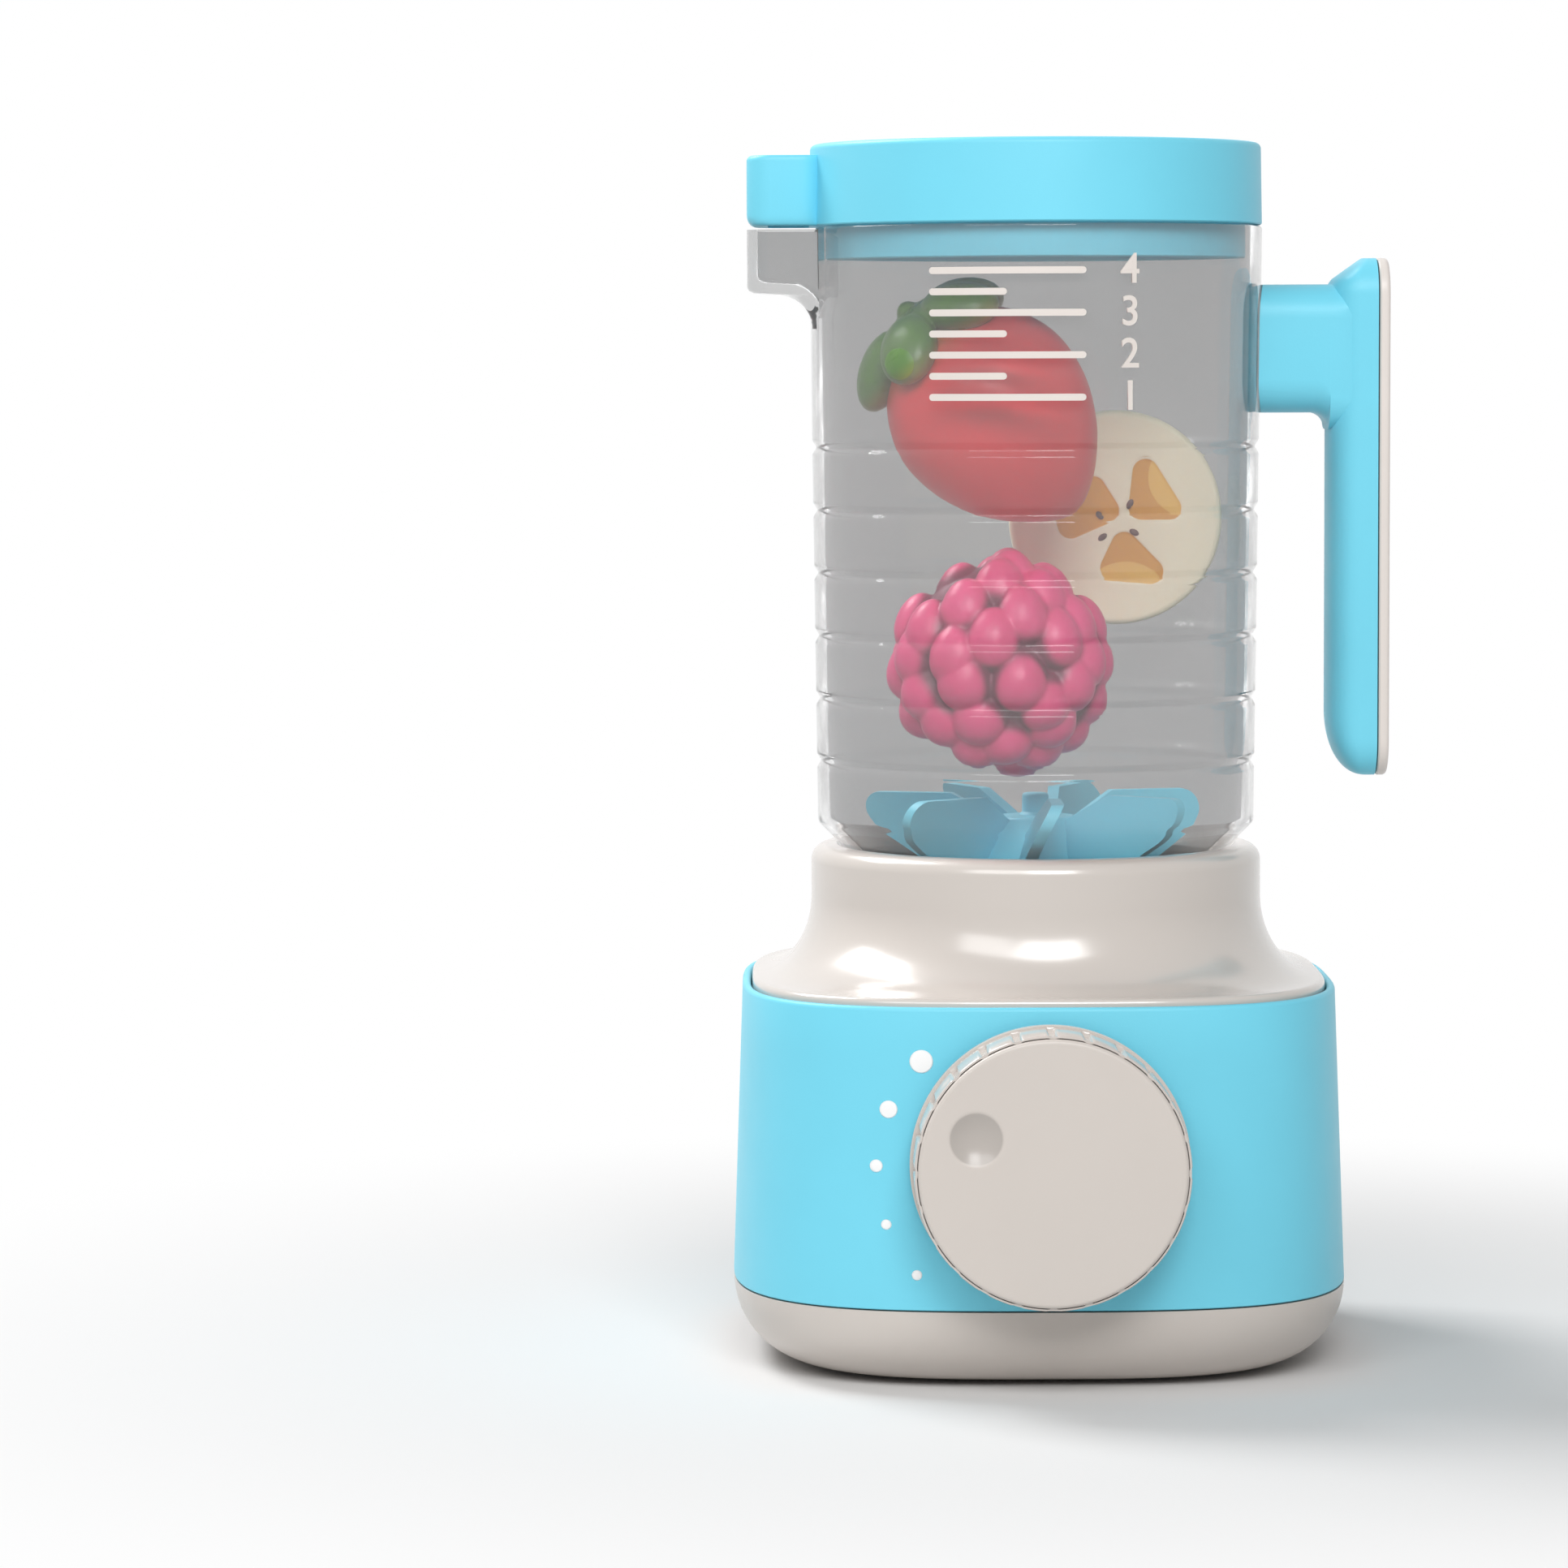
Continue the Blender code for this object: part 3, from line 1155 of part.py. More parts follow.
def make_dial():
    axis = bpy.data.objects.new("dial_axis", None)
    PARTS.objects.link(axis)
    axis.location = dial_place()
    axis.rotation_euler = (math.pi / 2, 0, 0)
    front = DIAL_DEPTH - DIAL_CAP_PROUD
    pocket = DIAL_DEPTH - DIAL_CAP_THICKNESS - SEAT_GAP
    web = pocket - DIAL_WALL
    pocket_radius = DIAL_CAP_RADIUS + SEAT_GAP
    bore = DIAL_SHAFT_RADIUS + SHAFT_GAP
    ring_profile = [
        (pocket_radius, front),
        (DIAL_RADIUS, front),
        (DIAL_RADIUS, DIAL_FLANGE),
        (DIAL_FLANGE_RADIUS, DIAL_FLANGE),
        (DIAL_FLANGE_RADIUS, 0.0),
        (DIAL_RADIUS - DIAL_WALL, 0.0),
        (DIAL_RADIUS - DIAL_WALL, web),
        (DIAL_HUB_RADIUS, web),
        (DIAL_HUB_RADIUS, 0.0),
        (bore, 0.0),
        (bore, pocket),
        (pocket_radius, pocket),
    ]
    dial_ring = turned("dial_ring", ring_profile, "greige", DIAL_SEGMENTS, ring=True)
    dial_ring.parent = axis
    notch_inner = DIAL_RADIUS - DIAL_NOTCH_DEPTH
    notch_outer = DIAL_FLANGE_RADIUS + CUT_OVERRUN
    for number in range(DIAL_NOTCHES):
        notch = box(
            f"dial_notch_{number + 1}",
            (notch_inner, -DIAL_NOTCH_WIDTH / 2, DIAL_FLANGE),
            (notch_outer, DIAL_NOTCH_WIDTH / 2, front - DIAL_EDGE_ROUND),
            None,
        )
        notch.rotation_euler = (0, 0, math.tau * number / DIAL_NOTCHES)
        notch.parent = axis
        cut(dial_ring, notch)
    cap_bottom = DIAL_DEPTH - DIAL_CAP_THICKNESS
    edge_cut = DIAL_EDGE_ROUND * EDGE_CORNER_SHARE
    cap_profile = [
        (0.0, DIAL_DEPTH),
        (DIAL_CAP_RADIUS - DIAL_EDGE_ROUND, DIAL_DEPTH),
        (DIAL_CAP_RADIUS - edge_cut, DIAL_DEPTH - edge_cut),
        (DIAL_CAP_RADIUS, DIAL_DEPTH - DIAL_EDGE_ROUND),
        (DIAL_CAP_RADIUS, cap_bottom),
        (0.0, cap_bottom),
    ]
    dial_cap = turned("dial_cap", cap_profile, "greige", ROUND_SEGMENTS)
    dial_cap.parent = axis
    ball_radius = (DIMPLE_RADIUS ** 2 + DIMPLE_DEPTH ** 2) / (2 * DIMPLE_DEPTH)
    builder = bmesh.new()
    bmesh.ops.create_uvsphere(
        builder,
        u_segments=MEDIUM_SEGMENTS,
        v_segments=2 * MEDIUM_SEGMENTS,
        radius=ball_radius,
    )
    ball = finish_mesh("dimple_ball", builder, None)
    ball.parent = axis
    ball.location = (
        DIMPLE_ARM * math.cos(DIMPLE_ANGLE),
        DIMPLE_ARM * math.sin(DIMPLE_ANGLE),
        DIAL_DEPTH + ball_radius - DIMPLE_DEPTH,
    )
    cut(dial_cap, ball)
    shaft_back = dial_place()[1] - switch_front_y() - SWITCH_SOCKET_DEPTH
    shaft = cylinder("dial_shaft", DIAL_SHAFT_RADIUS, shaft_back, pocket, "steel", MEDIUM_SEGMENTS)
    shaft.parent = axis


def light_strip_y():
    """Front plane of the light guide, a gap behind the sleeve's curved wall at its outer edge."""
    outermost = LIGHT_ARC_X - LIGHT_ARC_RADIUS - LIGHT_STRIP_WIDTH / 2
    return front_wall_y(outermost, DIAL_Z + LIGHT_ARC_Z, SHELL_WALL) + SEAT_GAP


def light_places():
    """Place across, height and radius of each level light."""
    places = []
    for angle, radius in zip(LIGHT_ANGLES, LIGHT_RADII):
        x = LIGHT_ARC_X + LIGHT_ARC_RADIUS * math.cos(angle)
        z = DIAL_Z + LIGHT_ARC_Z + LIGHT_ARC_RADIUS * math.sin(angle)
        places.append((x, z, radius))
    return places


def make_level_lights():
    start = math.degrees(LIGHT_ANGLES[0] - LIGHT_STRIP_MARGIN)
    end = math.degrees(LIGHT_ANGLES[-1] + LIGHT_STRIP_MARGIN)
    inner = LIGHT_ARC_RADIUS - LIGHT_STRIP_WIDTH / 2
    outer = LIGHT_ARC_RADIUS + LIGHT_STRIP_WIDTH / 2
    outline = arc((0, 0), outer, start, end, 8) + arc((0, 0), inner, end, start, 8)
    guide = plate("level_lights", [outline], -LIGHT_STRIP_THICKNESS, 0.0, "white")
    guide.rotation_euler = (math.pi / 2, 0, 0)
    guide.location = (LIGHT_ARC_X, light_strip_y(), DIAL_Z + LIGHT_ARC_Z)
    for number, (x, z, radius) in enumerate(light_places(), start=1):
        front = front_wall_y(x, z) - LIGHT_PROUD
        back = light_strip_y() + LIGHT_STRIP_THICKNESS / 2
        join(guide, front_cylinder(f"light_peg_{number}", radius, x, z, front, back, None))


def board_y():
    """Front face of the control board, clear of the switch and of the light guide."""
    behind_switch = front_wall_y(0, DIAL_Z) + SHELL_WALL + BOARD_SETBACK
    behind_lights = light_strip_y() + LIGHT_STRIP_THICKNESS + BOARD_LIGHT_GAP
    return max(behind_switch, behind_lights)


def switch_front_y():
    return board_y() - SEAT_GAP - SWITCH_DEPTH


def board_boss_places():
    return [(-BOARD_BOSS_X, DIAL_Z + BOARD_BOSS_Z), (BOARD_BOSS_X, DIAL_Z - BOARD_BOSS_Z)]


def make_control_board():
    front = board_y()
    back = front + BOARD_THICKNESS
    board = box(
        "circuit_board",
        (-BOARD_LEFT, front, DIAL_Z - BOARD_HALF_HEIGHT),
        (BOARD_RIGHT, back, DIAL_Z + BOARD_HALF_HEIGHT),
        "board",
    )
    chip = box(
        "board_chip",
        (-CHIP_HALF_WIDTH, back - BOARD_THICKNESS / 2, DIAL_Z - CHIP_HALF_HEIGHT),
        (CHIP_HALF_WIDTH, back + CHIP_THICKNESS, DIAL_Z + CHIP_HALF_HEIGHT),
        None,
    )
    join(board, chip)
    for number, (x, z) in enumerate(board_boss_places(), start=1):
        hole_radius = BOARD_SCREW_RADIUS + SEAT_GAP
        hole = front_cylinder(
            f"board_hole_{number}", hole_radius, x, z, front - CUT_OVERRUN, back + CUT_OVERRUN, None
        )
        cut(board, hole)
        fastener = screw(
            f"board_screw_{number}",
            BOARD_SCREW_HEAD_RADIUS,
            BOARD_SCREW_HEAD_HEIGHT,
            BOARD_SCREW_RADIUS,
            BOARD_SCREW_LENGTH,
        )
        fastener.rotation_euler = (math.pi / 2, 0, 0)
        fastener.location = (x, back + SEAT_GAP, z)
    switch_front = switch_front_y()
    switch = box(
        "rotary_switch",
        (-SWITCH_HALF_WIDTH, switch_front, DIAL_Z - SWITCH_HALF_WIDTH),
        (SWITCH_HALF_WIDTH, switch_front + SWITCH_DEPTH, DIAL_Z + SWITCH_HALF_WIDTH),
        "black",
    )
    socket = front_cylinder(
        "switch_socket",
        DIAL_SHAFT_RADIUS + SEAT_GAP,
        0,
        DIAL_Z,
        switch_front - CUT_OVERRUN,
        switch_front + SWITCH_SOCKET_DEPTH + SEAT_GAP,
        None,
        MEDIUM_SEGMENTS,
    )
    cut(switch, socket)


def jug_radius(height):
    """Outer radius of the jug at a height above its shoulder."""
    share = (height - SHOULDER_Z) / JUG_HEIGHT
    return JUG_BOTTOM_RADIUS + share * (JUG_TOP_RADIUS - JUG_BOTTOM_RADIUS)


def jug_profile():
    """Jug's section: down its outside, under its floor and up its inside."""
    neck_inner = NECK_RADIUS - JUG_WALL
    wall_foot = SHOULDER_Z + JUG_WALL * SHOULDER_INSIDE_SHARE
    bearing_hole = BLADE_BEARING_RADIUS + SEAT_GAP
    profile = [
        (JUG_TOP_RADIUS - JUG_WALL, JUG_RIM_Z),
        (JUG_TOP_RADIUS - JUG_RIM_ROUND, JUG_RIM_Z),
        (JUG_TOP_RADIUS, JUG_RIM_Z - JUG_RIM_ROUND),
    ]
    for number in reversed(range(GROOVE_COUNT)):
        middle = SHOULDER_Z + LOWEST_GROOVE + GROOVE_PITCH * number
        for share, depth_share in GROOVE_SHARES:
            height = middle + GROOVE_WIDTH / 2 * share
            profile.append((jug_radius(height) - GROOVE_DEPTH * depth_share, height))
    profile += [
        (JUG_BOTTOM_RADIUS, SHOULDER_Z),
        (NECK_RADIUS, NECK_TOP_Z),
        (NECK_RADIUS, NECK_BOTTOM_Z),
        (neck_inner, NECK_BOTTOM_Z),
        (neck_inner, JUG_FLOOR_BOTTOM_Z),
        (bearing_hole, JUG_FLOOR_BOTTOM_Z),
        (bearing_hole, JUG_FLOOR_Z),
        (neck_inner, JUG_FLOOR_Z),
        (neck_inner, NECK_TOP_Z + JUG_WALL * SHOULDER_INSIDE_SHARE),
        (jug_radius(wall_foot) - JUG_WALL, wall_foot),
    ]
    return profile


def spout_seat(name, reach):
    """Solid of the jug's slope, some way out from its outer face, that the spout is cut by."""
    profile = [
        (0.0, JUG_RIM_Z + CUT_OVERRUN),
        (JUG_TOP_RADIUS + reach, JUG_RIM_Z + CUT_OVERRUN),
        (JUG_BOTTOM_RADIUS + reach, SHOULDER_Z),
        (0.0, SHOULDER_Z),
    ]
    return turned(name, profile, None, ROUND_SEGMENTS)


def spout_channel(name):
    rings = spout_rings(
        SPOUT_REACH - SPOUT_WALL,
        SPOUT_HALF_WIDTH - SPOUT_WALL,
        SPOUT_CORNER - SPOUT_WALL,
        SPOUT_WALL,
        JUG_RIM_Z + CUT_OVERRUN,
    )
    return loft(name, rings, None)


def make_jug():
    jug = turned("jug", jug_profile(), "clear", ROUND_SEGMENTS, ring=True)
    cut(jug, spout_channel("jug_mouth"))
    spout_top = JUG_RIM_Z - SPOUT_RIM_DROP
    rings = spout_rings(SPOUT_REACH, SPOUT_HALF_WIDTH, SPOUT_CORNER, 0.0, spout_top)
    spout = loft("jug_spout", rings, "clear")
    cut(spout, spout_seat("spout_seat", SEAT_GAP))
    cut(spout, spout_channel("spout_inside"))


def spout_rings(reach, half_width, corner, wall, top):
    """Plan sections of the spout from the blend below its floor up to its rim."""
    root = -JUG_BOTTOM_RADIUS / 2
    floor_z = JUG_RIM_Z - SPOUT_HEIGHT + wall
    blend_tip = reach - SPOUT_FLAT
    levels = []
    for index in range(SPOUT_BLEND_STEPS + 1):
        turn = math.pi / 2 * index / SPOUT_BLEND_STEPS
        tip = blend_tip - SPOUT_BLEND * math.cos(turn)
        levels.append((tip, floor_z - SPOUT_FLOOR_RISE - SPOUT_BLEND * (1 - math.sin(turn))))
    levels += [(reach - corner / 2, floor_z), (reach, floor_z + corner / 4), (reach, top)]
    rings = []
    for tip, z in levels:
        outline = rounded_rectangle((-tip, -half_width), (root, half_width), corner)
        rings.append([Vector((x, y, z)) for x, y in outline])
    return rings


def side_cylinder(name, radius, z, start, end, material, segments=SMALL_SEGMENTS):
    """Cylinder along X at a height, between two distances from the axis."""
    rod = cylinder(name, radius, start, end, material, segments)
    rod.rotation_euler = (0, math.pi / 2, 0)
    rod.location = (0, 0, z)
    return rod


def handle_top_z():
    return JUG_RIM_Z - HANDLE_TOP_DROP


def arm_top_z():
    return JUG_RIM_Z - ARM_TOP_DROP


def handle_boss_heights():
    middle = arm_top_z() - ARM_HEIGHT / 2
    return [middle + HANDLE_BOSS_SPACING / 2, middle - HANDLE_BOSS_SPACING / 2]


def handle_boss_end(z):
    """Distance from the axis to the end of a boss, part of the way to its screw's head."""
    return jug_radius(z) + (HANDLE_SCREW_SEAT - jug_radius(z)) * HANDLE_BOSS_SHARE


def handle_screw_bite(z):
    return (handle_boss_end(z) - jug_radius(z)) * HANDLE_SCREW_BITE_SHARE


def grip_half_width(z):
    """Half width of the grip at a height; its ends are rounded as seen from behind."""
    top = handle_top_z()
    from_end = min(top - z, z - (top - HANDLE_LENGTH))
    if from_end >= HANDLE_END_CORNER:
        return HANDLE_HALF_WIDTH
    drop = HANDLE_END_CORNER - from_end
    return HANDLE_HALF_WIDTH - HANDLE_END_CORNER + math.sqrt(HANDLE_END_CORNER ** 2 - drop ** 2)


def grip_inner_x(z):
    """Distance from the axis to the grip's finger side at a height."""
    top = handle_top_z()
    from_top = min((top - z) / HANDLE_TOP_TAPER, 1)
    from_foot = min((z - (top - HANDLE_LENGTH)) / HANDLE_FOOT_TAPER, 1)
    reach_share = min(from_top, math.sqrt(1 - (1 - from_foot) ** 2))
    return HANDLE_BACK - HANDLE_END_DEPTH - (HANDLE_GRIP_DEPTH - HANDLE_END_DEPTH) * reach_share


def handle_pad(name, gap, material):
    """Block that hugs the jug's wall inside the arm, grown by a gap for the arm's pocket."""
    upper, lower = handle_boss_heights()
    margin = HANDLE_BOSS_RADIUS + HANDLE_PAD_MARGIN + gap
    half_width = HANDLE_PAD_HALF_WIDTH + gap
    reach = jug_radius(upper) + SEAT_GAP + HANDLE_PAD_THICKNESS + gap
    start = JUG_BOTTOM_RADIUS - HANDLE_HALF_WIDTH
    return box(name, (start, -half_width, lower - margin), (reach, half_width, upper + margin), material)


def jug_saddle(name):
    profile = [
        (0.0, JUG_RIM_Z),
        (JUG_TOP_RADIUS + SEAT_GAP, JUG_RIM_Z),
        (JUG_BOTTOM_RADIUS + SEAT_GAP, SHOULDER_Z),
        (0.0, SHOULDER_Z),
    ]
    return turned(name, profile, None, ROUND_SEGMENTS)


def make_handle_socket():
    """Clear pad fixed to the jug's wall, whose two bosses take the handle's screws."""
    socket = handle_pad("handle_socket", 0.0, "clear")
    start = JUG_BOTTOM_RADIUS
    for number, z in enumerate(handle_boss_heights(), start=1):
        boss = side_cylinder(f"handle_boss_{number}", HANDLE_BOSS_RADIUS, z, start, handle_boss_end(z), None)
        join(socket, boss)
    cut(socket, jug_saddle("socket_saddle"))
    for number, z in enumerate(handle_boss_heights(), start=1):
        end = handle_boss_end(z)
        tap_start = end - handle_screw_bite(z) - SEAT_GAP
        tap_radius = HANDLE_SCREW_RADIUS + SEAT_GAP
        tap = side_cylinder(f"handle_tap_{number}", tap_radius, z, tap_start, end + CUT_OVERRUN, None)
        cut(socket, tap)


def make_handle():
    top = handle_top_z()
    foot = top - HANDLE_LENGTH
    heights = [foot + HANDLE_FOOT_TAPER * share for share in GRIP_END_SHARES]
    heights += [top - HANDLE_END_CORNER * share for share in reversed(GRIP_END_SHARES)]
    rings = []
    for z in heights:
        inner = grip_inner_x(z)
        half_width = grip_half_width(z)
        facet = HANDLE_BACK - min(HANDLE_FACET, (HANDLE_BACK - inner) / 2)
        ring = [Vector((HANDLE_BACK, -half_width, z))]
        for share in GRIP_ARC_SHARES:
            turn = -math.pi / 2 + math.pi * share
            x = facet - (facet - inner) * max(math.cos(turn), 0) ** GRIP_SQUARE_SHARE
            y = half_width * math.copysign(abs(math.sin(turn)) ** GRIP_SQUARE_SHARE, turn)
            ring.append(Vector((x, y, z)))
        ring.append(Vector((HANDLE_BACK, half_width, z)))
        rings.append(ring)
    handle = loft("handle", rings, "turquoise")
    arm_back = (HANDLE_GRIP_INNER + HANDLE_BACK) / 2
    arm_rings = []
    arm_top = arm_top_z()
    arm_bottom = arm_top - ARM_HEIGHT
    start = JUG_BOTTOM_RADIUS - HANDLE_HALF_WIDTH
    fillet_x = HANDLE_GRIP_INNER - ARM_FILLET
    fillet_part = ARM_FILLET * (1 - math.sqrt(0.5))
    stations = [
        (start, 0.0),
        (fillet_x, 0.0),
        (HANDLE_GRIP_INNER - fillet_part, fillet_part),
        (HANDLE_GRIP_INNER, ARM_FILLET),
        (arm_back, ARM_FILLET),
    ]
    for x, spread in stations:
        low = (-HANDLE_HALF_WIDTH * ARM_WIDTH_SHARE, arm_bottom - spread)
        high = (HANDLE_HALF_WIDTH * ARM_WIDTH_SHARE, arm_top)
        outline = rounded_rectangle(low, high, ARM_CORNER)
        arm_rings.append([Vector((x, y, z)) for y, z in outline])
    join(handle, loft("handle_arm", arm_rings, None))
    cut(handle, jug_saddle("handle_saddle"))
    cut(handle, handle_pad("pad_pocket", SEAT_GAP, None))
    for number, z in enumerate(handle_boss_heights(), start=1):
        boss_end = handle_boss_end(z) + SEAT_GAP
        boss_hole_radius = HANDLE_BOSS_RADIUS + SEAT_GAP
        cut(handle, side_cylinder(f"boss_socket_{number}", boss_hole_radius, z, start, boss_end, None))
        shank_radius = HANDLE_SCREW_RADIUS + SEAT_GAP
        shank_end = HANDLE_BACK + CUT_OVERRUN
        cut(handle, side_cylinder(f"handle_shank_hole_{number}", shank_radius, z, start, shank_end, None))
        head_radius = HANDLE_SCREW_HEAD_RADIUS + SEAT_GAP
        head_start = HANDLE_SCREW_SEAT - SEAT_GAP
        head_hole = side_cylinder(f"handle_head_hole_{number}", head_radius, z, head_start, shank_end, None)
        cut(handle, head_hole)
        length = HANDLE_SCREW_SEAT - (handle_boss_end(z) - handle_screw_bite(z))
        fastener = screw(
            f"handle_screw_{number}",
            HANDLE_SCREW_HEAD_RADIUS,
            HANDLE_SCREW_HEAD_HEIGHT,
            HANDLE_SCREW_RADIUS,
            length,
        )
        fastener.rotation_euler = (0, -math.pi / 2, 0)
        fastener.location = (HANDLE_SCREW_SEAT, 0, z)


def make_handle_back():
    top = handle_top_z()
    foot = top - HANDLE_LENGTH
    low = (foot, -HANDLE_HALF_WIDTH)
    high = (top, HANDLE_HALF_WIDTH)
    outline = rounded_rectangle(low, high, HANDLE_END_CORNER, 4)
    smaller = rounded_rectangle(
        (foot + STRIP_ROUND, -HANDLE_HALF_WIDTH + STRIP_ROUND),
        (top - STRIP_ROUND, HANDLE_HALF_WIDTH - STRIP_ROUND),
        HANDLE_END_CORNER - STRIP_ROUND,
        4,
    )
    front = HANDLE_REACH - STRIP_THICKNESS
    levels = [(outline, front), (outline, HANDLE_REACH - STRIP_ROUND), (smaller, HANDLE_REACH)]
    rings = [[Vector((x, y, z)) for z, y in points] for points, x in levels]
    loft("handle_back", rings, "greige")


def make_lid():
    wall_radius = LID_SKIRT_RADIUS - LID_SKIRT_WALL
    skirt_bottom = LID_BOTTOM_Z - LID_SKIRT_DEPTH
    round_centre = (LID_TOP_RADIUS - LID_ROUND, LID_TOP_Z - LID_ROUND)
    profile = [(0.0, LID_TOP_Z)] + arc(round_centre, LID_ROUND, 90, 0, 3)
    profile += [
        (LID_RADIUS, LID_BOTTOM_Z),
        (LID_SKIRT_RADIUS, LID_BOTTOM_Z),
        (LID_SKIRT_RADIUS, skirt_bottom),
        (wall_radius, skirt_bottom),
        (wall_radius, LID_TOP_Z - LID_TOP),
        (0.0, LID_TOP_Z - LID_TOP),
    ]
    lid = turned("lid", profile, "turquoise", ROUND_SEGMENTS)
    top = LID_TOP_Z - LID_SPOUT_DROP
    root = -LID_SKIRT_RADIUS - SEAT_GAP
    soft = LID_SPOUT_ROUND * (1 - math.sqrt(0.5))
    levels = [
        (LID_SPOUT_ROUND, LID_BOTTOM_Z),
        (soft, LID_BOTTOM_Z + soft),
        (0.0, LID_BOTTOM_Z + LID_SPOUT_ROUND),
        (0.0, top - LID_SPOUT_ROUND / 4),
        (LID_SPOUT_ROUND / 4, top),
    ]
    rings = []
    for inset, z in levels:
        low = (-SPOUT_REACH + inset, -SPOUT_HALF_WIDTH + inset / 2)
        high = (root, SPOUT_HALF_WIDTH - inset / 2)
        outline = rounded_rectangle(low, high, SPOUT_CORNER - inset / 2)
        rings.append([Vector((x, y, z)) for x, y in outline])
    join(lid, loft("lid_spout", rings, None))
    hollow = box(
        "lid_spout_inside",
        (-SPOUT_REACH + 2 * SPOUT_WALL, -SPOUT_HALF_WIDTH + SPOUT_WALL, LID_BOTTOM_Z - CUT_OVERRUN),
        (-LID_RADIUS, SPOUT_HALF_WIDTH - SPOUT_WALL, top - SPOUT_WALL),
        None,
    )
    cut(lid, hollow)


def strawberry_profile(growth):
    """Profile from the leaf end down to the tip, grown outward by a clearance."""
    profile = []
    for along, across in zip(STRAWBERRY_LENGTH_SHARES, STRAWBERRY_RADIUS_SHARES):
        height = (2 * along - 1) * (STRAWBERRY_LENGTH / 2 + growth)
        radius = STRAWBERRY_RADIUS * across + (growth if 0 < across else 0.0)
        profile.append((radius, height))
    return profile


def make_strawberry():
    tilt = (0, STRAWBERRY_TILT - math.pi, 0)
    body = turned("strawberry", strawberry_profile(0.0), "strawberry", MEDIUM_SEGMENTS)
    body.location = STRAWBERRY_PLACE
    body.rotation_euler = tilt
    seat = turned("leaf_seat", strawberry_profile(SEAT_GAP), None, MEDIUM_SEGMENTS)
    seat.location = STRAWBERRY_PLACE
    seat.rotation_euler = tilt
    leaves = leaf_blob("strawberry_leaves", (0, 0, 0), 0, LEAF_WIDTH, LEAF_WIDTH, "leaf")
    for number in range(LEAF_COUNT):
        angle = math.tau * (number + LEAF_TURN_SHARE) / LEAF_COUNT
        out = LEAF_LENGTH / 2
        place = (out * math.cos(angle), out * math.sin(angle), -LEAF_THICKNESS / 4)
        lobe = leaf_blob(f"leaf_{number + 1}", place, angle, LEAF_LENGTH, LEAF_WIDTH, None)
        lobe.parent = leaves
        join(leaves, lobe)
    crown = Vector((0, 0, STRAWBERRY_LENGTH / 2))
    crown.rotate(body.rotation_euler)
    leaves.location = Vector(STRAWBERRY_PLACE) + crown
    leaves.rotation_euler = tilt
    cut(leaves, seat)


def leaf_blob(name, place, angle, length, width, material):
    """One chunky leaf lobe: a flattened ball."""
    builder = bmesh.new()
    bmesh.ops.create_uvsphere(
        builder,
        u_segments=SMALL_SEGMENTS,
        v_segments=SMALL_SEGMENTS // 2,
        radius=1.0,
    )
    bmesh.ops.scale(builder, verts=builder.verts, vec=(length / 2, width / 2, LEAF_THICKNESS / 2))
    blob = finish_mesh(name, builder, material)
    blob.location = place
    blob.rotation_euler = (0, 0, angle)
    return blob


def drupelet_centres():
    """Places of the raspberry's drupelets, in staggered rows from top to bottom."""
    centres = []
    rows = len(DRUPELET_ROWS)
    for row, count in enumerate(DRUPELET_ROWS):
        polar = math.pi * (2 * row + 1) / (2 * rows) if 1 < count else math.pi * row / (rows - 1)
        for number in range(count):
            around = math.pi * (2 * number + row % 2) / count
            x = RASPBERRY_RADIUS * math.sin(polar) * math.cos(around)
            y = RASPBERRY_RADIUS * math.sin(polar) * math.sin(around)
            centres.append(Vector((x, y, RASPBERRY_HEIGHT * math.cos(polar))))
    return centres


def make_raspberry():
    """Ball whose skin is pushed out to the nearest drupelet in each direction."""
    centres = drupelet_centres()
    builder = bmesh.new()
    bmesh.ops.create_icosphere(builder, subdivisions=4, radius=1.0)
    for vertex in builder.verts:
        direction = vertex.co.normalized()
        reach = 0.0
        for centre in centres:
            along = centre.dot(direction)
            across = along ** 2 - centre.length_squared + DRUPELET_RADIUS ** 2
            if 0 < along and 0 < across:
                reach = max(reach, along + math.sqrt(across))
        vertex.co = direction * max(reach, RASPBERRY_RADIUS)
    berry = finish_mesh("raspberry", builder, "raspberry")
    berry.location = RASPBERRY_PLACE


def make_banana_slice():
    half = BANANA_THICKNESS / 2
    edge = BANANA_RADIUS - BANANA_EDGE_ROUND
    profile = [(0.0, half)]
    profile += arc((edge, half - BANANA_EDGE_ROUND), BANANA_EDGE_ROUND, 90, 0, 2)
    profile += arc((edge, BANANA_EDGE_ROUND - half), BANANA_EDGE_ROUND, 0, -90, 2)
    profile.append((0.0, -half))
    banana = turned("banana_slice", profile, "banana", MEDIUM_SEGMENTS)
    banana.rotation_euler = (math.pi / 2, 0, 0)
    banana.location = BANANA_PLACE


def make_toy_blender():
    make_base_pan()
    make_battery_door()
    make_feet()
    make_base_screws()
    make_base_body()
    make_base_collar()
    make_battery_box()
    make_batteries()
    make_battery_contacts()
    make_motor()
    make_gear_frame()
    make_bearings()
    make_gears()
    make_drive_line()
    make_dial()
    make_level_lights()
    make_control_board()
    make_jug()
    make_handle_socket()
    make_handle()
    make_handle_back()
    make_blade_rotor()
    make_lid()
    make_strawberry()
    make_raspberry()
    make_banana_slice()


make_toy_blender()
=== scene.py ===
import json
from math import copysign, cos, hypot, pi, radians, sin, sqrt, tan, tau

import bmesh
import bpy
from mathutils import Matrix, Vector


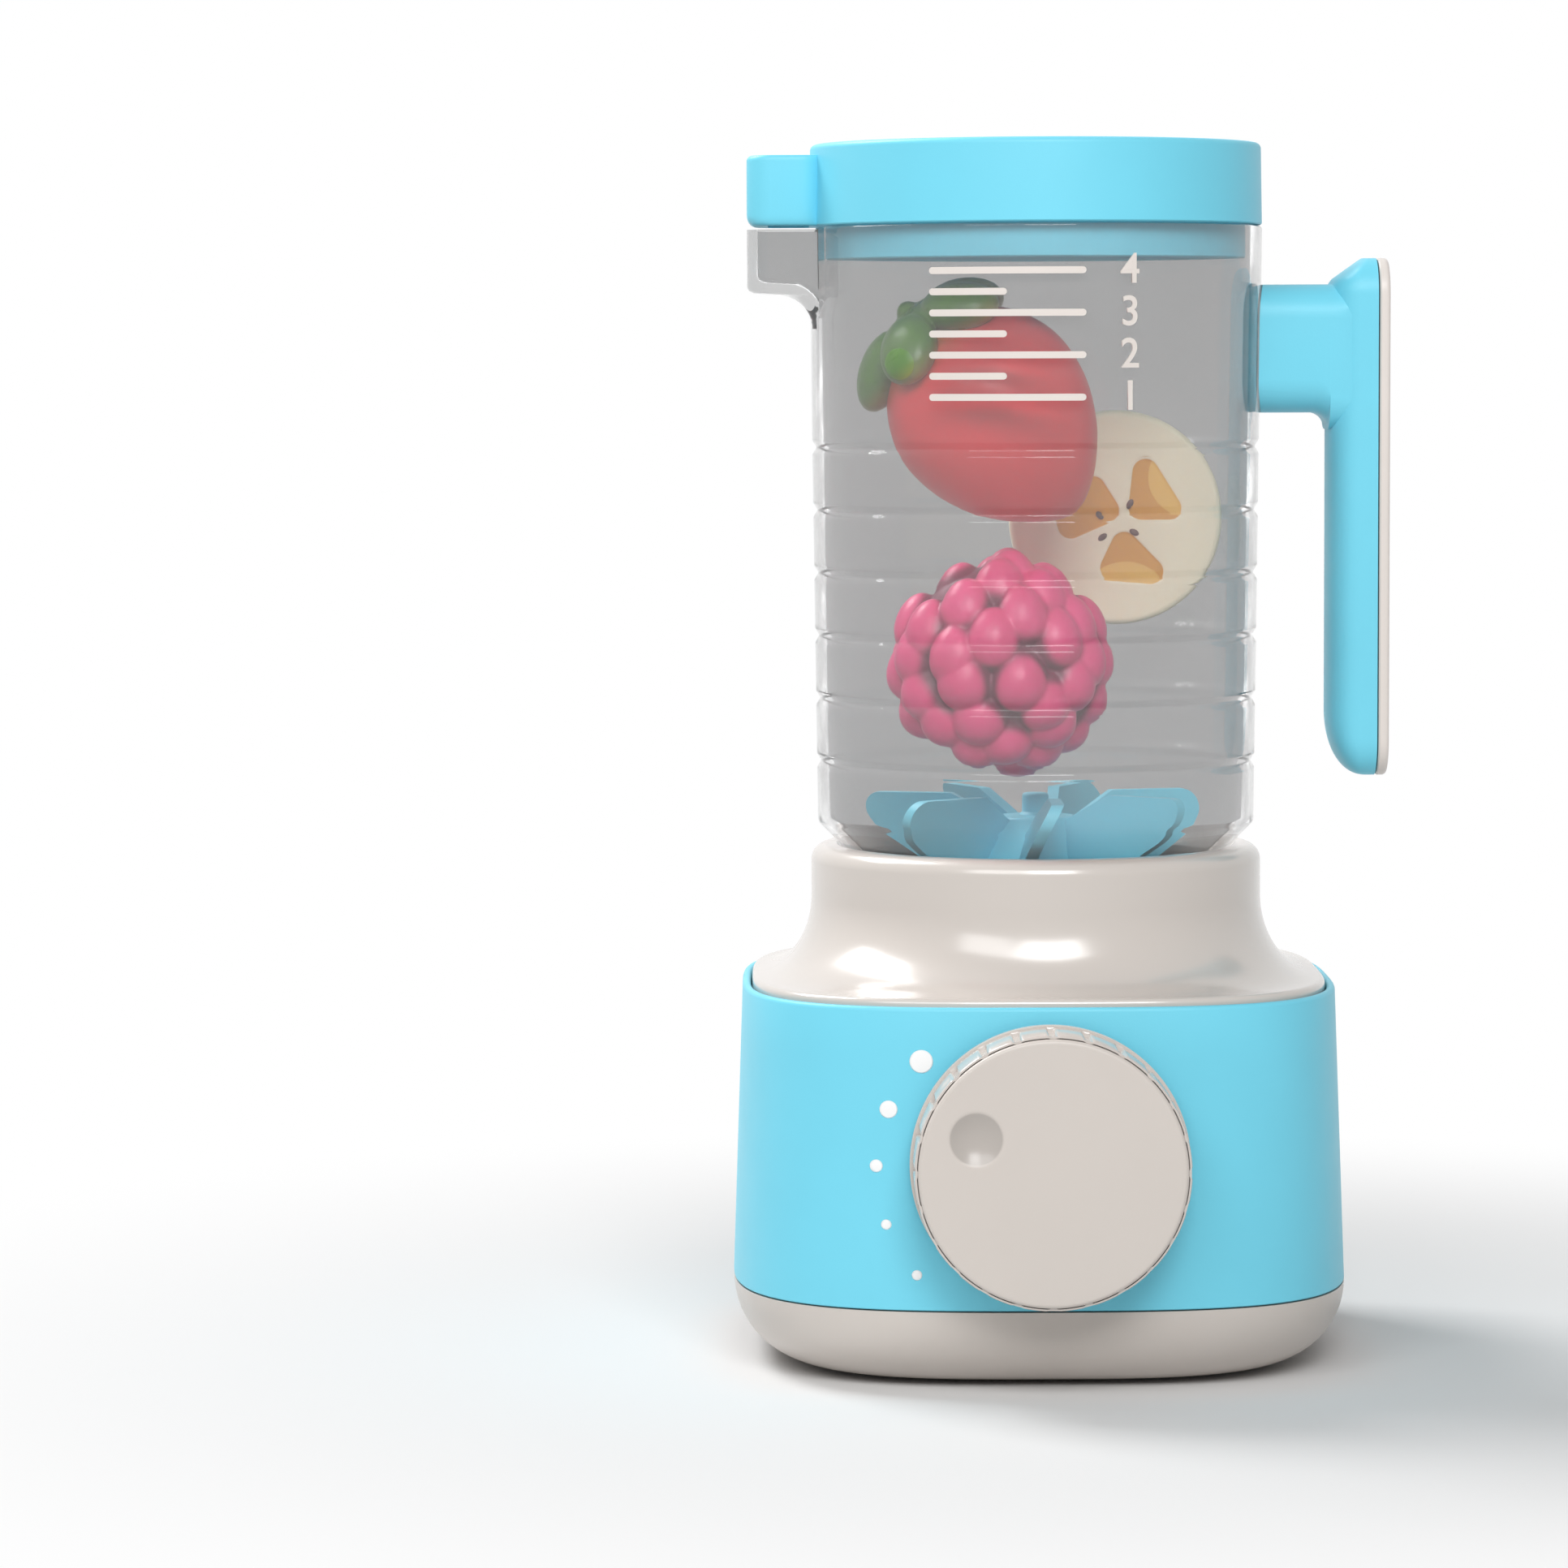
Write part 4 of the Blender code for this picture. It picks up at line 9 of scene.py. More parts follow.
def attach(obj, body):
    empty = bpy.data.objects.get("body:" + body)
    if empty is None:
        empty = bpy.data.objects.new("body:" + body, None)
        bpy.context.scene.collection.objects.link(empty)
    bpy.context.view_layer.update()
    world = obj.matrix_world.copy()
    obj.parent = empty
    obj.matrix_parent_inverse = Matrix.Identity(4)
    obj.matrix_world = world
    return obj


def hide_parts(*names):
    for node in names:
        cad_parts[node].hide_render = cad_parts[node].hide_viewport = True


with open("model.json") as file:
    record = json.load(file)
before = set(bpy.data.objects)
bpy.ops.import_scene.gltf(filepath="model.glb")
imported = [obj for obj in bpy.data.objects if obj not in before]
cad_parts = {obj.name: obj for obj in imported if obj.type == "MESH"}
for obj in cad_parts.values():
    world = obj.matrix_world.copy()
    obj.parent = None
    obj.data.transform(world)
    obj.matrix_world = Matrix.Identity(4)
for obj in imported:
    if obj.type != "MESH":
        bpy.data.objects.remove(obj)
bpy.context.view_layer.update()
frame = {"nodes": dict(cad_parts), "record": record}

# Toy blender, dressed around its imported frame. Metres, +Z up; the front faces -Y, the spout
# points to -X and the handle to +X.

# Sizes that the pieces share with the frame
GAP = 0.0003
SQUARENESS = 3.2
BASE_HALF = 0.0637
BASE_TOP_HALF = 0.0616
SEAM_Z = 0.0161
RIM_Z = 0.0773
RIM_WIDTH = 0.0017
SHELL_WALL = 0.0022
PAN_ROUND = 0.0160
PAN_FLOOR = 0.0026
COLLAR_RADIUS = 0.0471
LIP_Z = 0.1054
LIP_ROUND = 0.0034
CUP_RADIUS = 0.0385
CUP_FLOOR_Z = 0.0852
SHOULDER_Z = 0.1101
JUG_RIM_Z = 0.2340
JUG_TOP_RADIUS = 0.0472
JUG_BOTTOM_RADIUS = 0.0457
JUG_WALL = 0.0024
DIAL_Z = 0.0462
HUB_Z = 0.0990
SPOUT_REACH = 0.0601
SPOUT_HALF = 0.0130
SPOUT_CORNER = 0.0050
SPOUT_WALL = 0.0022
HANDLE_BACK = 0.0706
HANDLE_TOP_Z = 0.2273
HANDLE_LENGTH = 0.1077
HANDLE_HALF = 0.0115

RING = 192
TIP = 1e-5  # radius where a turned section ends on its axis
PAST = 0.001  # run of a cutter beyond the face that it opens


# Mesh helpers

def place_data(name, data):
    """Object in the scene for a mesh, curve, camera or lamp."""
    piece = bpy.data.objects.new(name, data)
    bpy.context.scene.collection.objects.link(piece)
    return piece


def finish(name, builder, sharp=30.0):
    """Object from a bmesh, smooth between edges sharper than an angle in degrees."""
    bmesh.ops.remove_doubles(builder, verts=builder.verts, dist=1e-7)
    bmesh.ops.recalc_face_normals(builder, faces=builder.faces)
    mesh = bpy.data.meshes.new(name)
    builder.to_mesh(mesh)
    builder.free()
    mesh.shade_smooth()
    mesh.set_sharp_from_angle(angle=radians(sharp))
    return place_data(name, mesh)


def sheath(builder, rings, looped=False):
    """Faces through rings of equally many points, closed at both ends unless looped."""
    rows = [[builder.verts.new(point) for point in ring] for ring in rings]
    pairs = list(zip(rows, rows[1:]))
    if looped:
        pairs.append((rows[-1], rows[0]))
    for row, following in pairs:
        for index in range(len(row)):
            after = (index + 1) % len(row)
            builder.faces.new((row[index], row[after], following[after], following[index]))
    if looped:
        return None
    builder.faces.new(rows[0][::-1])
    return builder.faces.new(rows[-1])


def rings_by(rows, count, point):
    """Rings of points, each from the values of its row and an angle about the ring."""
    return [[point(*row, tau * index / count) for index in range(count)] for row in rows]


def skin(name, rings, looped=False, sharp=30.0):
    builder = bmesh.new()
    sheath(builder, rings, looped)
    return finish(name, builder, sharp)


def squircle(half, height, squareness=2.0, count=RING):
    """Ring from round (2) towards square (higher) at a height."""
    ring = []
    for index in range(count):
        angle = tau * index / count
        across = abs(cos(angle)) ** squareness + abs(sin(angle)) ** squareness
        reach = half / across ** (1 / squareness)
        ring.append(Vector((reach * cos(angle), reach * sin(angle), height)))
    return ring


def spin(name, profile, looped=False, count=RING, sharp=30.0):
    """Solid turned about Z from points of a radius and a height."""
    rings = [squircle(max(radius, TIP), height, count=count) for radius, height in profile]
    return skin(name, rings, looped, sharp)


def rings_of(section, squareness=2.0):
    """Rings for pairs of a half width and a height."""
    return [squircle(half, height, squareness) for half, height in section]


def arc(centre, radius, start, end, steps):
    points = []
    for index in range(steps + 1):
        angle = radians(start + (end - start) * index / steps)
        points.append((centre[0] + radius * cos(angle), centre[1] + radius * sin(angle)))
    return points


def rounded_rectangle(low, high, corner, steps=10):
    left, bottom = low[0] + corner, low[1] + corner
    right, top = high[0] - corner, high[1] - corner
    outline = []
    for number, middle in enumerate(((right, top), (left, top), (left, bottom), (right, bottom))):
        outline += arc(middle, corner, 90 * number, 90 * number + 90, steps)
    return outline


def rounded(points, radii, steps=6):
    """Closed outline through corners in a plane, each rounded by its own radius."""
    outline = []
    for index, corner in enumerate(points):
        here = Vector(corner)
        before = (Vector(points[index - 1]) - here).normalized()
        after = (Vector(points[(index + 1) % len(points)]) - here).normalized()
        half = before.angle(after) / 2
        reach = radii[index] / tan(half)
        start, end = here + before * reach, here + after * reach
        middle = here + (before + after).normalized() * (radii[index] / sin(half))
        first, last = start - middle, end - middle
        for step in range(steps + 1):
            share = step / steps
            spoke = first.lerp(last, share)
            outline.append(middle + spoke.normalized() * radii[index])
    return outline


def rod(name, radius, start, end, axis="Z", place=(0, 0), count=48):
    """Cutter or boss along Y or Z between two coordinates on it, at a place across it."""
    rings = []
    for along in (start, end):
        ring = []
        for first, second in arc(place, radius, 0, 360, count)[:-1]:
            ring.append(Vector((first, along, second) if axis == "Y" else (first, second, along)))
        rings.append(ring)
    return skin(name, rings)


def lift(outline, z):
    return [Vector((x, y, z)) for x, y in outline]


def slab(name, outline, low, high):
    """Outline in X and Y extruded between two heights."""
    return skin(name, [lift(outline, z) for z in (low, high)])


def quarter(radius, steps, first=0):
    """Insets and falls along a quarter round, from where it leaves one side to where it meets the next."""
    turns = [pi / 2 * step / steps for step in range(first, steps + 1)]
    return [(radius * (1 - cos(turn)), radius * (1 - sin(turn))) for turn in turns]


def settled(holder):
    """New mesh of an object with its modifiers or its letter forms worked out."""
    bpy.context.view_layer.update()
    graph = bpy.context.evaluated_depsgraph_get()
    return bpy.data.meshes.new_from_object(holder.evaluated_get(graph))


def settle(piece):
    """Bakes a piece's modifiers into its mesh."""
    mesh = settled(piece)
    old = piece.data
    piece.modifiers.clear()
    piece.data = mesh
    bpy.data.meshes.remove(old)


def combine(piece, other, operation):
    """Adds or cuts another mesh and removes it."""
    modifier = piece.modifiers.new("combine", "BOOLEAN")
    modifier.operation = operation
    modifier.solver = "EXACT"
    modifier.object = other
    settle(piece)
    bpy.data.objects.remove(other)


def cut(piece, *cutters):
    for cutter in cutters:
        combine(piece, cutter, "DIFFERENCE")


def join(piece, *additions):
    for addition in additions:
        combine(piece, addition, "UNION")


def resmooth(piece, sharp=30.0):
    piece.data.shade_smooth()
    piece.data.set_sharp_from_angle(angle=radians(sharp))


def paint(piece, name, value_at):
    """Stores a value for each vertex, from its place, for the piece's material."""
    layer = piece.data.attributes.new(name, "FLOAT", "POINT")
    for vertex, item in zip(piece.data.vertices, layer.data):
        item.value = value_at(vertex.co)


def clamp(value):
    return min(max(value, 0.0), 1.0)


def soften(piece, width, segments=2, angle=35.0):
    modifier = piece.modifiers.new("edges", "BEVEL")
    modifier.width = width
    modifier.segments = segments
    modifier.limit_method = "ANGLE"
    modifier.angle_limit = radians(angle)
    modifier.harden_normals = True


# Materials

def linear(red, green, blue):
    """Linear colour from display values of 0 to 255."""
    values = []
    for value in (red, green, blue):
        share = value / 255
        values.append(share / 12.92 if share <= 0.04045 else ((share + 0.055) / 1.055) ** 2.4)
    return (*values, 1.0)


class Finish:
    """A material under construction: its node tree and its Principled shader."""

    def __init__(self, name, **settings):
        self.material = bpy.data.materials.new(name)
        self.material.use_nodes = True
        self.tree = self.material.node_tree
        self.shader = self.tree.nodes["Principled BSDF"]
        self.output = self.tree.nodes["Material Output"]
        for socket, value in settings.items():
            self.shader.inputs[socket.replace("_", " ")].default_value = value
        self.place = self.add("ShaderNodeTexCoord").outputs["Object"]

    def add(self, kind, inputs=None, **properties):
        made = self.tree.nodes.new(kind)
        for name, value in properties.items():
            setattr(made, name, value)
        for name, value in (inputs or {}).items():
            if isinstance(value, bpy.types.NodeSocket):
                self.tree.links.new(value, made.inputs[name])
            else:
                made.inputs[name].default_value = value
        return made

    def noise(self, size, detail=2.0, roughness=0.5, place=None):
        """Noise of a size in metres, from 0 to 1."""
        settings = {"Vector": place or self.place, "Scale": 1 / size}
        settings.update({"Detail": detail, "Roughness": roughness})
        return self.add("ShaderNodeTexNoise", settings).outputs["Fac"]

    def span(self, value, low, high, start=0.0, end=1.0, smooth=False):
        """Value carried from the range low to high onto start to end."""
        settings = {"Value": value, "From Min": low, "From Max": high, "To Min": start, "To Max": end}
        kind = "SMOOTHSTEP" if smooth else "LINEAR"
        return self.add("ShaderNodeMapRange", settings, interpolation_type=kind).outputs["Result"]

    def mix(self, share, first, second):
        return self.add("ShaderNodeMix", {0: share, 6: first, 7: second}, data_type="RGBA").outputs[2]

    def math(self, operation, first, second):
        return self.add("ShaderNodeMath", {0: first, 1: second}, operation=operation).outputs[0]

    def link(self, socket, value):
        self.tree.links.new(value, self.shader.inputs[socket])

    def attribute(self, name):
        return self.add("ShaderNodeAttribute", attribute_name=name).outputs["Fac"]

    def gloss(self, size, low, high, detail=3.0, roughness=0.5):
        """Roughness that wanders between two values in patches of a size."""
        self.link("Roughness", self.span(self.noise(size, detail, roughness), 0.3, 0.7, low, high))

    def grain(self, size, strength, distance, detail=1.0):
        self.bump(self.noise(size, detail), strength, distance)

    def done(self, colour, gloss, grain):
        """Links a colour, patches of gloss and a grain, and hands over the material."""
        self.link("Base Color", colour)
        self.gloss(*gloss)
        self.grain(*grain)
        return self.material

    def bump(self, height, strength, distance):
        settings = {"Height": height, "Strength": strength, "Distance": distance}
        self.link("Normal", self.add("ShaderNodeBump", settings).outputs["Normal"])


def mix_shaders(tree, share, first, second, output):
    """Sends two shader nodes, mixed by a share, to an output node."""
    mixed = tree.nodes.new("ShaderNodeMixShader")
    for index, socket in enumerate((share, first.outputs[0], second.outputs[0])):
        tree.links.new(socket, mixed.inputs[index])
    tree.links.new(mixed.outputs[0], output.inputs["Surface"])


def shade(colour, factor):
    return tuple(min(value * factor, 1.0) for value in colour[:3]) + (1.0,)


def moulded(name, colour, roughness, grain=0.25, grain_size=0.00035, mottle=0.05, **settings):
    """Moulded plastic: fine spark-eroded grain, faint flow marks and uneven gloss."""
    coat = Finish(name, **settings)
    flow = coat.noise(0.030, 3.0)
    marked = coat.mix(flow, shade(colour, 1 - mottle), shade(colour, 1 + mottle))
    gloss = (0.006, roughness * 0.95, roughness * 1.05, 4.0, 0.6)
    return coat.done(marked, gloss, (grain_size, grain, 0.00004))


def brushed(name, colour, roughness):
    """Metal with fine drawn lines along Z and a few darker stains."""
    coat = Finish(name, Metallic=1.0)
    scaled = coat.add("ShaderNodeVectorMath", {0: coat.place, 1: (1.0, 1.0, 0.04)}, operation="MULTIPLY")
    lines = coat.noise(0.0004, 2.0, place=scaled.outputs[0])
    stains = coat.noise(0.004, 3.0)
    coat.link("Base Color", coat.mix(stains, shade(colour, 0.85), shade(colour, 1.08)))
    coat.link("Roughness", coat.span(lines, 0.3, 0.7, roughness - 0.08, roughness + 0.10))
    coat.bump(lines, 0.2, 0.00003)
    return coat.material


def clear_plastic():
    """Smoke-tinted clear plastic that lets lamps reach what stands behind it."""
    settings = {"Transmission_Weight": 0.93, "IOR": 1.05, "Coat_Weight": 0.7, "Coat_Roughness": 0.02}
    coat = Finish("clear_plastic", Base_Color=(0.60, 0.60, 0.60, 1.0), **settings)
    coat.link("Roughness", coat.span(coat.noise(0.012, 3.0), 0.3, 0.75, 0.005, 0.03))
    coat.grain(0.020, 0.05, 0.0002)
    open_way = coat.add("ShaderNodeBsdfTransparent", {"Color": (0.98, 0.98, 0.98, 1.0)})
    rays = coat.add("ShaderNodeLightPath")
    mix_shaders(coat.tree, rays.outputs["Is Shadow Ray"], coat.shader, open_way, coat.output)
    return coat.material


def dial_face_plastic(dimple):
    """Satin face whose finger dimple is polished, with painted shade: a darker colour in the recess; its
    middle is given around the dial's axis.
    """
    coat = Finish("dial_face_plastic")
    middle = (dimple.x, DIAL_FRONT_Y + 0.0008, DIAL_Z + dimple.y)
    away = coat.add("ShaderNodeVectorMath", {0: coat.place, 1: middle}, operation="DISTANCE")
    inside = coat.span(away.outputs["Value"], 0.0056, 0.0050, smooth=True)
    flow = coat.noise(0.030, 3.0)
    plain = coat.mix(flow, shade(GREIGE, 0.97), shade(GREIGE, 1.03))
    # Painted shade: the dimple takes a darker greige that stands in for the shade in its recess.
    coat.link("Base Color", coat.mix(inside, plain, shade(GREIGE, 0.74)))
    satin = coat.span(flow, 0.3, 0.7, 0.36, 0.42)
    coat.link("Roughness", coat.math("SUBTRACT", satin, coat.math("MULTIPLY", inside, 0.14)))
    coat.grain(0.00035, 0.06, 0.00004)
    return coat.material


def strawberry_skin():
    """Red sprayed over green: the colour turns through ochre beside the leaves."""
    coat = Finish("strawberry_skin", Specular_IOR_Level=0.45, Coat_Weight=0.25, Coat_Roughness=0.25)
    band = coat.attribute("leafward")
    wander = coat.noise(0.010, 2.0)
    edge = coat.math("ADD", band, coat.span(wander, 0.3, 0.7, -0.04, 0.04))
    red = coat.mix(coat.noise(0.018, 3.0), linear(226, 44, 56), linear(244, 68, 76))
    warm = coat.mix(coat.span(edge, 0.80, 0.96, smooth=True), red, linear(176, 104, 30))
    return coat.done(warm, (0.005, 0.36, 0.44), (0.0005, 0.2, 0.00005))


def leaf_skin():
    """Glossy green that turns ochre towards the red of the fruit."""
    coat = Finish("leaf_skin", Specular_IOR_Level=0.5, Coat_Weight=0.3, Coat_Roughness=0.15)
    band = coat.attribute("leafward")
    green = coat.mix(coat.noise(0.007, 2.0), linear(58, 104, 22), linear(86, 132, 38))
    warm = coat.mix(coat.span(band, 0.0, 1.0, smooth=True), linear(156, 128, 40), green)
    return coat.done(warm, (0.004, 0.26, 0.36), (0.0005, 0.15, 0.00005))


def raspberry_skin():
    """Pink-magenta soft gloss, with painted shade: a darker magenta in the gaps between the drupelets."""
    coat = Finish("raspberry_skin", Specular_IOR_Level=0.5, Coat_Weight=0.2, Coat_Roughness=0.3)
    depth = coat.attribute("swell")
    pink = coat.mix(coat.noise(0.009, 2.0), linear(222, 50, 114), linear(244, 80, 144))
    clear_of_gap_shade = coat.span(depth, 0.0, 0.55, smooth=True)
    # Painted shade: dark magenta in the gaps between drupelets, pink on their crests.
    colour = coat.mix(clear_of_gap_shade, linear(120, 14, 62), pink)
    return coat.done(colour, (0.005, 0.34, 0.44), (0.0005, 0.2, 0.00005))


def banana_flesh():
    """Cream printed flesh with golden seed chambers, each lighter gold in painted light on one part and
    darker gold in painted shadow on the rest.
    """
    coat = Finish("banana_flesh", Specular_IOR_Level=0.4)
    chamber = coat.attribute("chamber")
    lit = coat.attribute("lit")
    cream = coat.mix(coat.noise(0.0009, 3.0), linear(254, 242, 208), linear(255, 250, 226))
    # Painted light and shadow: lighter gold where a chamber's floor would be lit, darker gold where its edge
    # would cast shadow.
    gold = coat.mix(coat.span(lit, -0.1, 0.1), linear(230, 164, 60), linear(250, 200, 98))
    colour = coat.mix(coat.span(chamber, -0.08, 0.08), cream, gold)
    return coat.done(colour, (0.004, 0.42, 0.55), (0.0004, 0.3, 0.00006, 2.0))


def board_laminate():
    """Green solder mask over faint copper tracks."""
    coat = Finish("board_laminate", Specular_IOR_Level=0.5)
    tracks = coat.add("ShaderNodeTexBrick", {"Vector": coat.place, "Scale": 130.0, "Mortar Size": 0.03})
    green = coat.mix(coat.noise(0.004), linear(18, 88, 44), linear(28, 110, 56))
    coat.link("Base Color", coat.mix(tracks.outputs["Fac"], green, linear(48, 140, 78)))
    coat.gloss(0.002, 0.3, 0.5, 2.0)
    coat.bump(tracks.outputs["Fac"], 0.3, 0.00005)
    return coat.material


TURQUOISE = linear(118, 213, 236)
GREIGE = linear(206, 198, 191)

COLLAR_GLOSS = {"Specular_IOR_Level": 0.8, "Coat_Weight": 0.5, "Coat_Roughness": 0.22}

FINISHES = {
    "turquoise": moulded("turquoise_plastic", TURQUOISE, 0.42, Specular_IOR_Level=0.35),
    "greige": moulded("greige_plastic", GREIGE, 0.30, grain=0.02),
    "gloss": moulded("greige_gloss", shade(GREIGE, 0.96), 0.20, grain=0.0, mottle=0.02, **COLLAR_GLOSS),
    # A lighter copy of the greige for the scale marks and the handle strip: painted light where these faces
    # look lit.
    "print": moulded("greige_painted_light", linear(224, 216, 210), 0.35),
    "clear": clear_plastic(),
    "white": moulded("white_plastic", (0.94, 0.94, 0.94, 1.0), 0.35, mottle=0.01),
    "black": moulded("black_plastic", linear(34, 34, 36), 0.5, mottle=0.15),
    "acetal": moulded("acetal", linear(230, 226, 212), 0.35, mottle=0.04),
    "rubber": moulded("rubber", linear(86, 84, 84), 0.8, grain=0.5, grain_size=0.0008, mottle=0.15),
    "steel": brushed("steel", (0.62, 0.62, 0.63, 1.0), 0.28),
    "brass": brushed("sintered_bronze", (0.55, 0.42, 0.24, 1.0), 0.42),
    "board": board_laminate(),
    "cell": moulded("cell_sleeve", linear(60, 66, 78), 0.3, mottle=0.2),
    "strawberry": strawberry_skin(),
    "leaf": leaf_skin(),
    "raspberry": raspberry_skin(),
    "banana": banana_flesh(),
}


def dress(piece, body, slot, *nodes, material=None):
    """Gives a piece its finish and its body, and hides the frame nodes that it stands for."""
    piece.data.materials.clear()
    piece.data.materials.append(material or FINISHES[slot])
    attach(piece, body)
    if nodes:
        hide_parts(*nodes)


# Base

def sleeve_half(height):
    share = (height - SEAM_Z) / (RIM_Z - SEAM_Z)
    return BASE_HALF + share * (BASE_TOP_HALF - BASE_HALF)


def front_y(x, height, inset=0.0):
    """Y of the sleeve's front face at a place across and a height."""
    half = sleeve_half(height) - inset
    return -half * (1 - (abs(x) / half) ** SQUARENESS) ** (1 / SQUARENESS)


CORNERS = ((-1, -1), (1, -1), (1, 1), (-1, 1))
POST_PLACE = (0.020, 0.042)
BOSS_RADIUS = 0.0050
SCREW_WELL_RADIUS = 0.0033
FOOT_PLACE = 0.035
FOOT_SEAT_RADIUS = 0.0053
DOOR_LOW = (-0.03245, -0.0255)
DOOR_HIGH = (0.03965, 0.0255)
DOOR_CORNER = 0.0033
BAY_HALF = (0.029, 0.022)
LEDGE_DROP = 0.0032
LEDGE_WIDTH = 0.0024
LEDGE_THICKNESS = 0.0015


def make_pan():
    outer = []
    inner = []
    for rise, fall in quarter(1.0, 16):
        half = BASE_HALF - PAN_ROUND * fall
        outer.append(squircle(half, SEAM_Z * rise, SQUARENESS))
        inside = PAN_FLOOR + (SEAM_Z - PAN_FLOOR) * rise
        inner.insert(0, squircle(half - SHELL_WALL, inside, SQUARENESS))
    pan = skin("pan_shell", outer + inner)
    for side, end in CORNERS:
        post = (side * POST_PLACE[0], end * POST_PLACE[1])
        foot = (side * FOOT_PLACE, end * FOOT_PLACE)
        join(pan, rod("boss", BOSS_RADIUS, 0.0013, 0.0080, place=post))
        cut(pan, rod("well", SCREW_WELL_RADIUS, -PAST, 0.0053, place=post))
        cut(pan, rod("foot_seat", FOOT_SEAT_RADIUS, -PAST, 0.0012, place=foot))
    low = (DOOR_LOW[0] - GAP, DOOR_LOW[1] - GAP)
    high = (DOOR_HIGH[0] + GAP, DOOR_HIGH[1] + GAP)
    cut(pan, slab("door_seat", rounded_rectangle(low, high, DOOR_CORNER), -PAST, 0.0016))
    bay = rounded_rectangle((-BAY_HALF[0], -BAY_HALF[1]), BAY_HALF, 0.001)
    cut(pan, slab("bay", bay, 0.0, 0.004))
    resmooth(pan)
    soften(pan, 0.00025)
    dress(pan, "base", "greige", "base_pan")


def make_sleeve():
    """The sleeve's section from its foot over the rim and the ledge inside it."""
    rim_inner = BASE_TOP_HALF - RIM_WIDTH
    rim_round = RIM_WIDTH / 2
    rim_foot = RIM_Z - rim_round
    ledge_inner = rim_inner - LEDGE_WIDTH
    ledge_z = RIM_Z - LEDGE_DROP
    foot = SEAM_Z + 0.0008
    heights = [SEAM_Z + 0.0005] + [foot + (rim_foot - foot) * step / 6 for step in range(7)]
    section = [(sleeve_half(SEAM_Z) - 0.0002, SEAM_Z + GAP)]
    section += [(sleeve_half(height), height) for height in heights]
    section += arc((rim_inner + rim_round, rim_foot), rim_round, 15, 165, 10)
    section += [(rim_inner, rim_foot), (rim_inner, ledge_z), (ledge_inner, ledge_z)]
    section += [(ledge_inner, ledge_z - LEDGE_THICKNESS), (sleeve_half(0.0700) - SHELL_WALL, 0.0700)]
    section += [(BASE_HALF - SHELL_WALL, SEAM_Z + GAP)]
    sleeve = skin("base_sleeve", rings_of(section, SQUARENESS), looped=True)
    cut(sleeve, rod("shaft_hole", 0.0033, -0.070, -0.055, "Y", (0, DIAL_Z)))
    for x, z, radius in light_places():
        cut(sleeve, rod("light_hole", radius + 0.00002, -0.070, -0.050, "Y", (x, z)))
    resmooth(sleeve)
    dress(sleeve, "base", "turquoise", "base_body")


COLLAR_EDGE = BASE_TOP_HALF - RIM_WIDTH - GAP
EDGE_ROUND = 0.0012
EDGE_Z = RIM_Z + 0.0015
FLARE_HEIGHT = 0.0160
BEARING_HOLE_RADIUS = 0.0053


def flare(share, inset):
    """Ring of the collar's flare from its round neck (0) to its square-round edge (1)."""
    turn = share * pi / 2
    spread = 1 - cos(turn)
    half = COLLAR_RADIUS + (COLLAR_EDGE - EDGE_ROUND - COLLAR_RADIUS) * spread - inset
    height = EDGE_Z + FLARE_HEIGHT - (FLARE_HEIGHT + inset) * sin(turn)
    return squircle(half, height, 2 + (SQUARENESS - 2) * spread)


def make_collar():
    """The collar's section from below the cup, out under the flare, and back over the lip."""
    under = CUP_RADIUS + SHELL_WALL
    cup_head = LIP_Z - 0.0066
    edge_foot = RIM_Z - 0.0029
    below = [(under, CUP_FLOOR_Z - SHELL_WALL), (under, cup_head), (COLLAR_RADIUS - SHELL_WALL, cup_head)]
    rings = rings_of(below) + [flare(step / 12, SHELL_WALL) for step in range(13)]
    edge = [(COLLAR_EDGE - SHELL_WALL, edge_foot), (COLLAR_EDGE, edge_foot)]
    edge += arc((COLLAR_EDGE - EDGE_ROUND, EDGE_Z - EDGE_ROUND), EDGE_ROUND, 0, 80, 6)
    rings += rings_of(edge, SQUARENESS) + [flare(1 - step / 28, 0.0) for step in range(29)]
    seat = JUG_BOTTOM_RADIUS - (SHOULDER_Z - LIP_Z) + GAP * sqrt(2)
    seat_foot = LIP_Z - (seat - CUP_RADIUS)
    lip = arc((COLLAR_RADIUS - LIP_ROUND, LIP_Z - LIP_ROUND), LIP_ROUND, 0, 90, 16)
    lip += [(seat + 0.0004, LIP_Z), (seat, LIP_Z - 0.0003), (CUP_RADIUS + 0.0003, seat_foot + 0.0001)]
    cup = [(CUP_RADIUS, seat_foot - 0.0003), (CUP_RADIUS, CUP_FLOOR_Z + 0.0008)]
    cup += [(CUP_RADIUS - 0.0008, CUP_FLOOR_Z)]
    collar = skin("base_collar_shell", rings + rings_of(lip + cup))
    cut(collar, rod("bearing_hole", BEARING_HOLE_RADIUS, 0.080, 0.088, count=96))
    resmooth(collar)
    dress(collar, "base", "greige", "base_collar", material=FINISHES["gloss"])


# Angle on their arc and radius of the level lights
LIGHTS = ((135.2, 0.00235), (156.9, 0.0018), (178.5, 0.0013), (200.5, 0.00105), (222.2, 0.00105))
LIGHT_ARC_MIDDLE = (-0.0035, 0.0445)
LIGHT_ARC_RADIUS = 0.0312
PEG_DEPTH = 0.0070


def light_places():
    """Place across, height and radius of each level light, on an arc beside the dial."""
    places = []
    for degrees, radius in LIGHTS:
        angle = radians(degrees)
        x = LIGHT_ARC_MIDDLE[0] + LIGHT_ARC_RADIUS * cos(angle)
        z = LIGHT_ARC_MIDDLE[1] + LIGHT_ARC_RADIUS * sin(angle)
        places.append((x, z, radius))
    return places


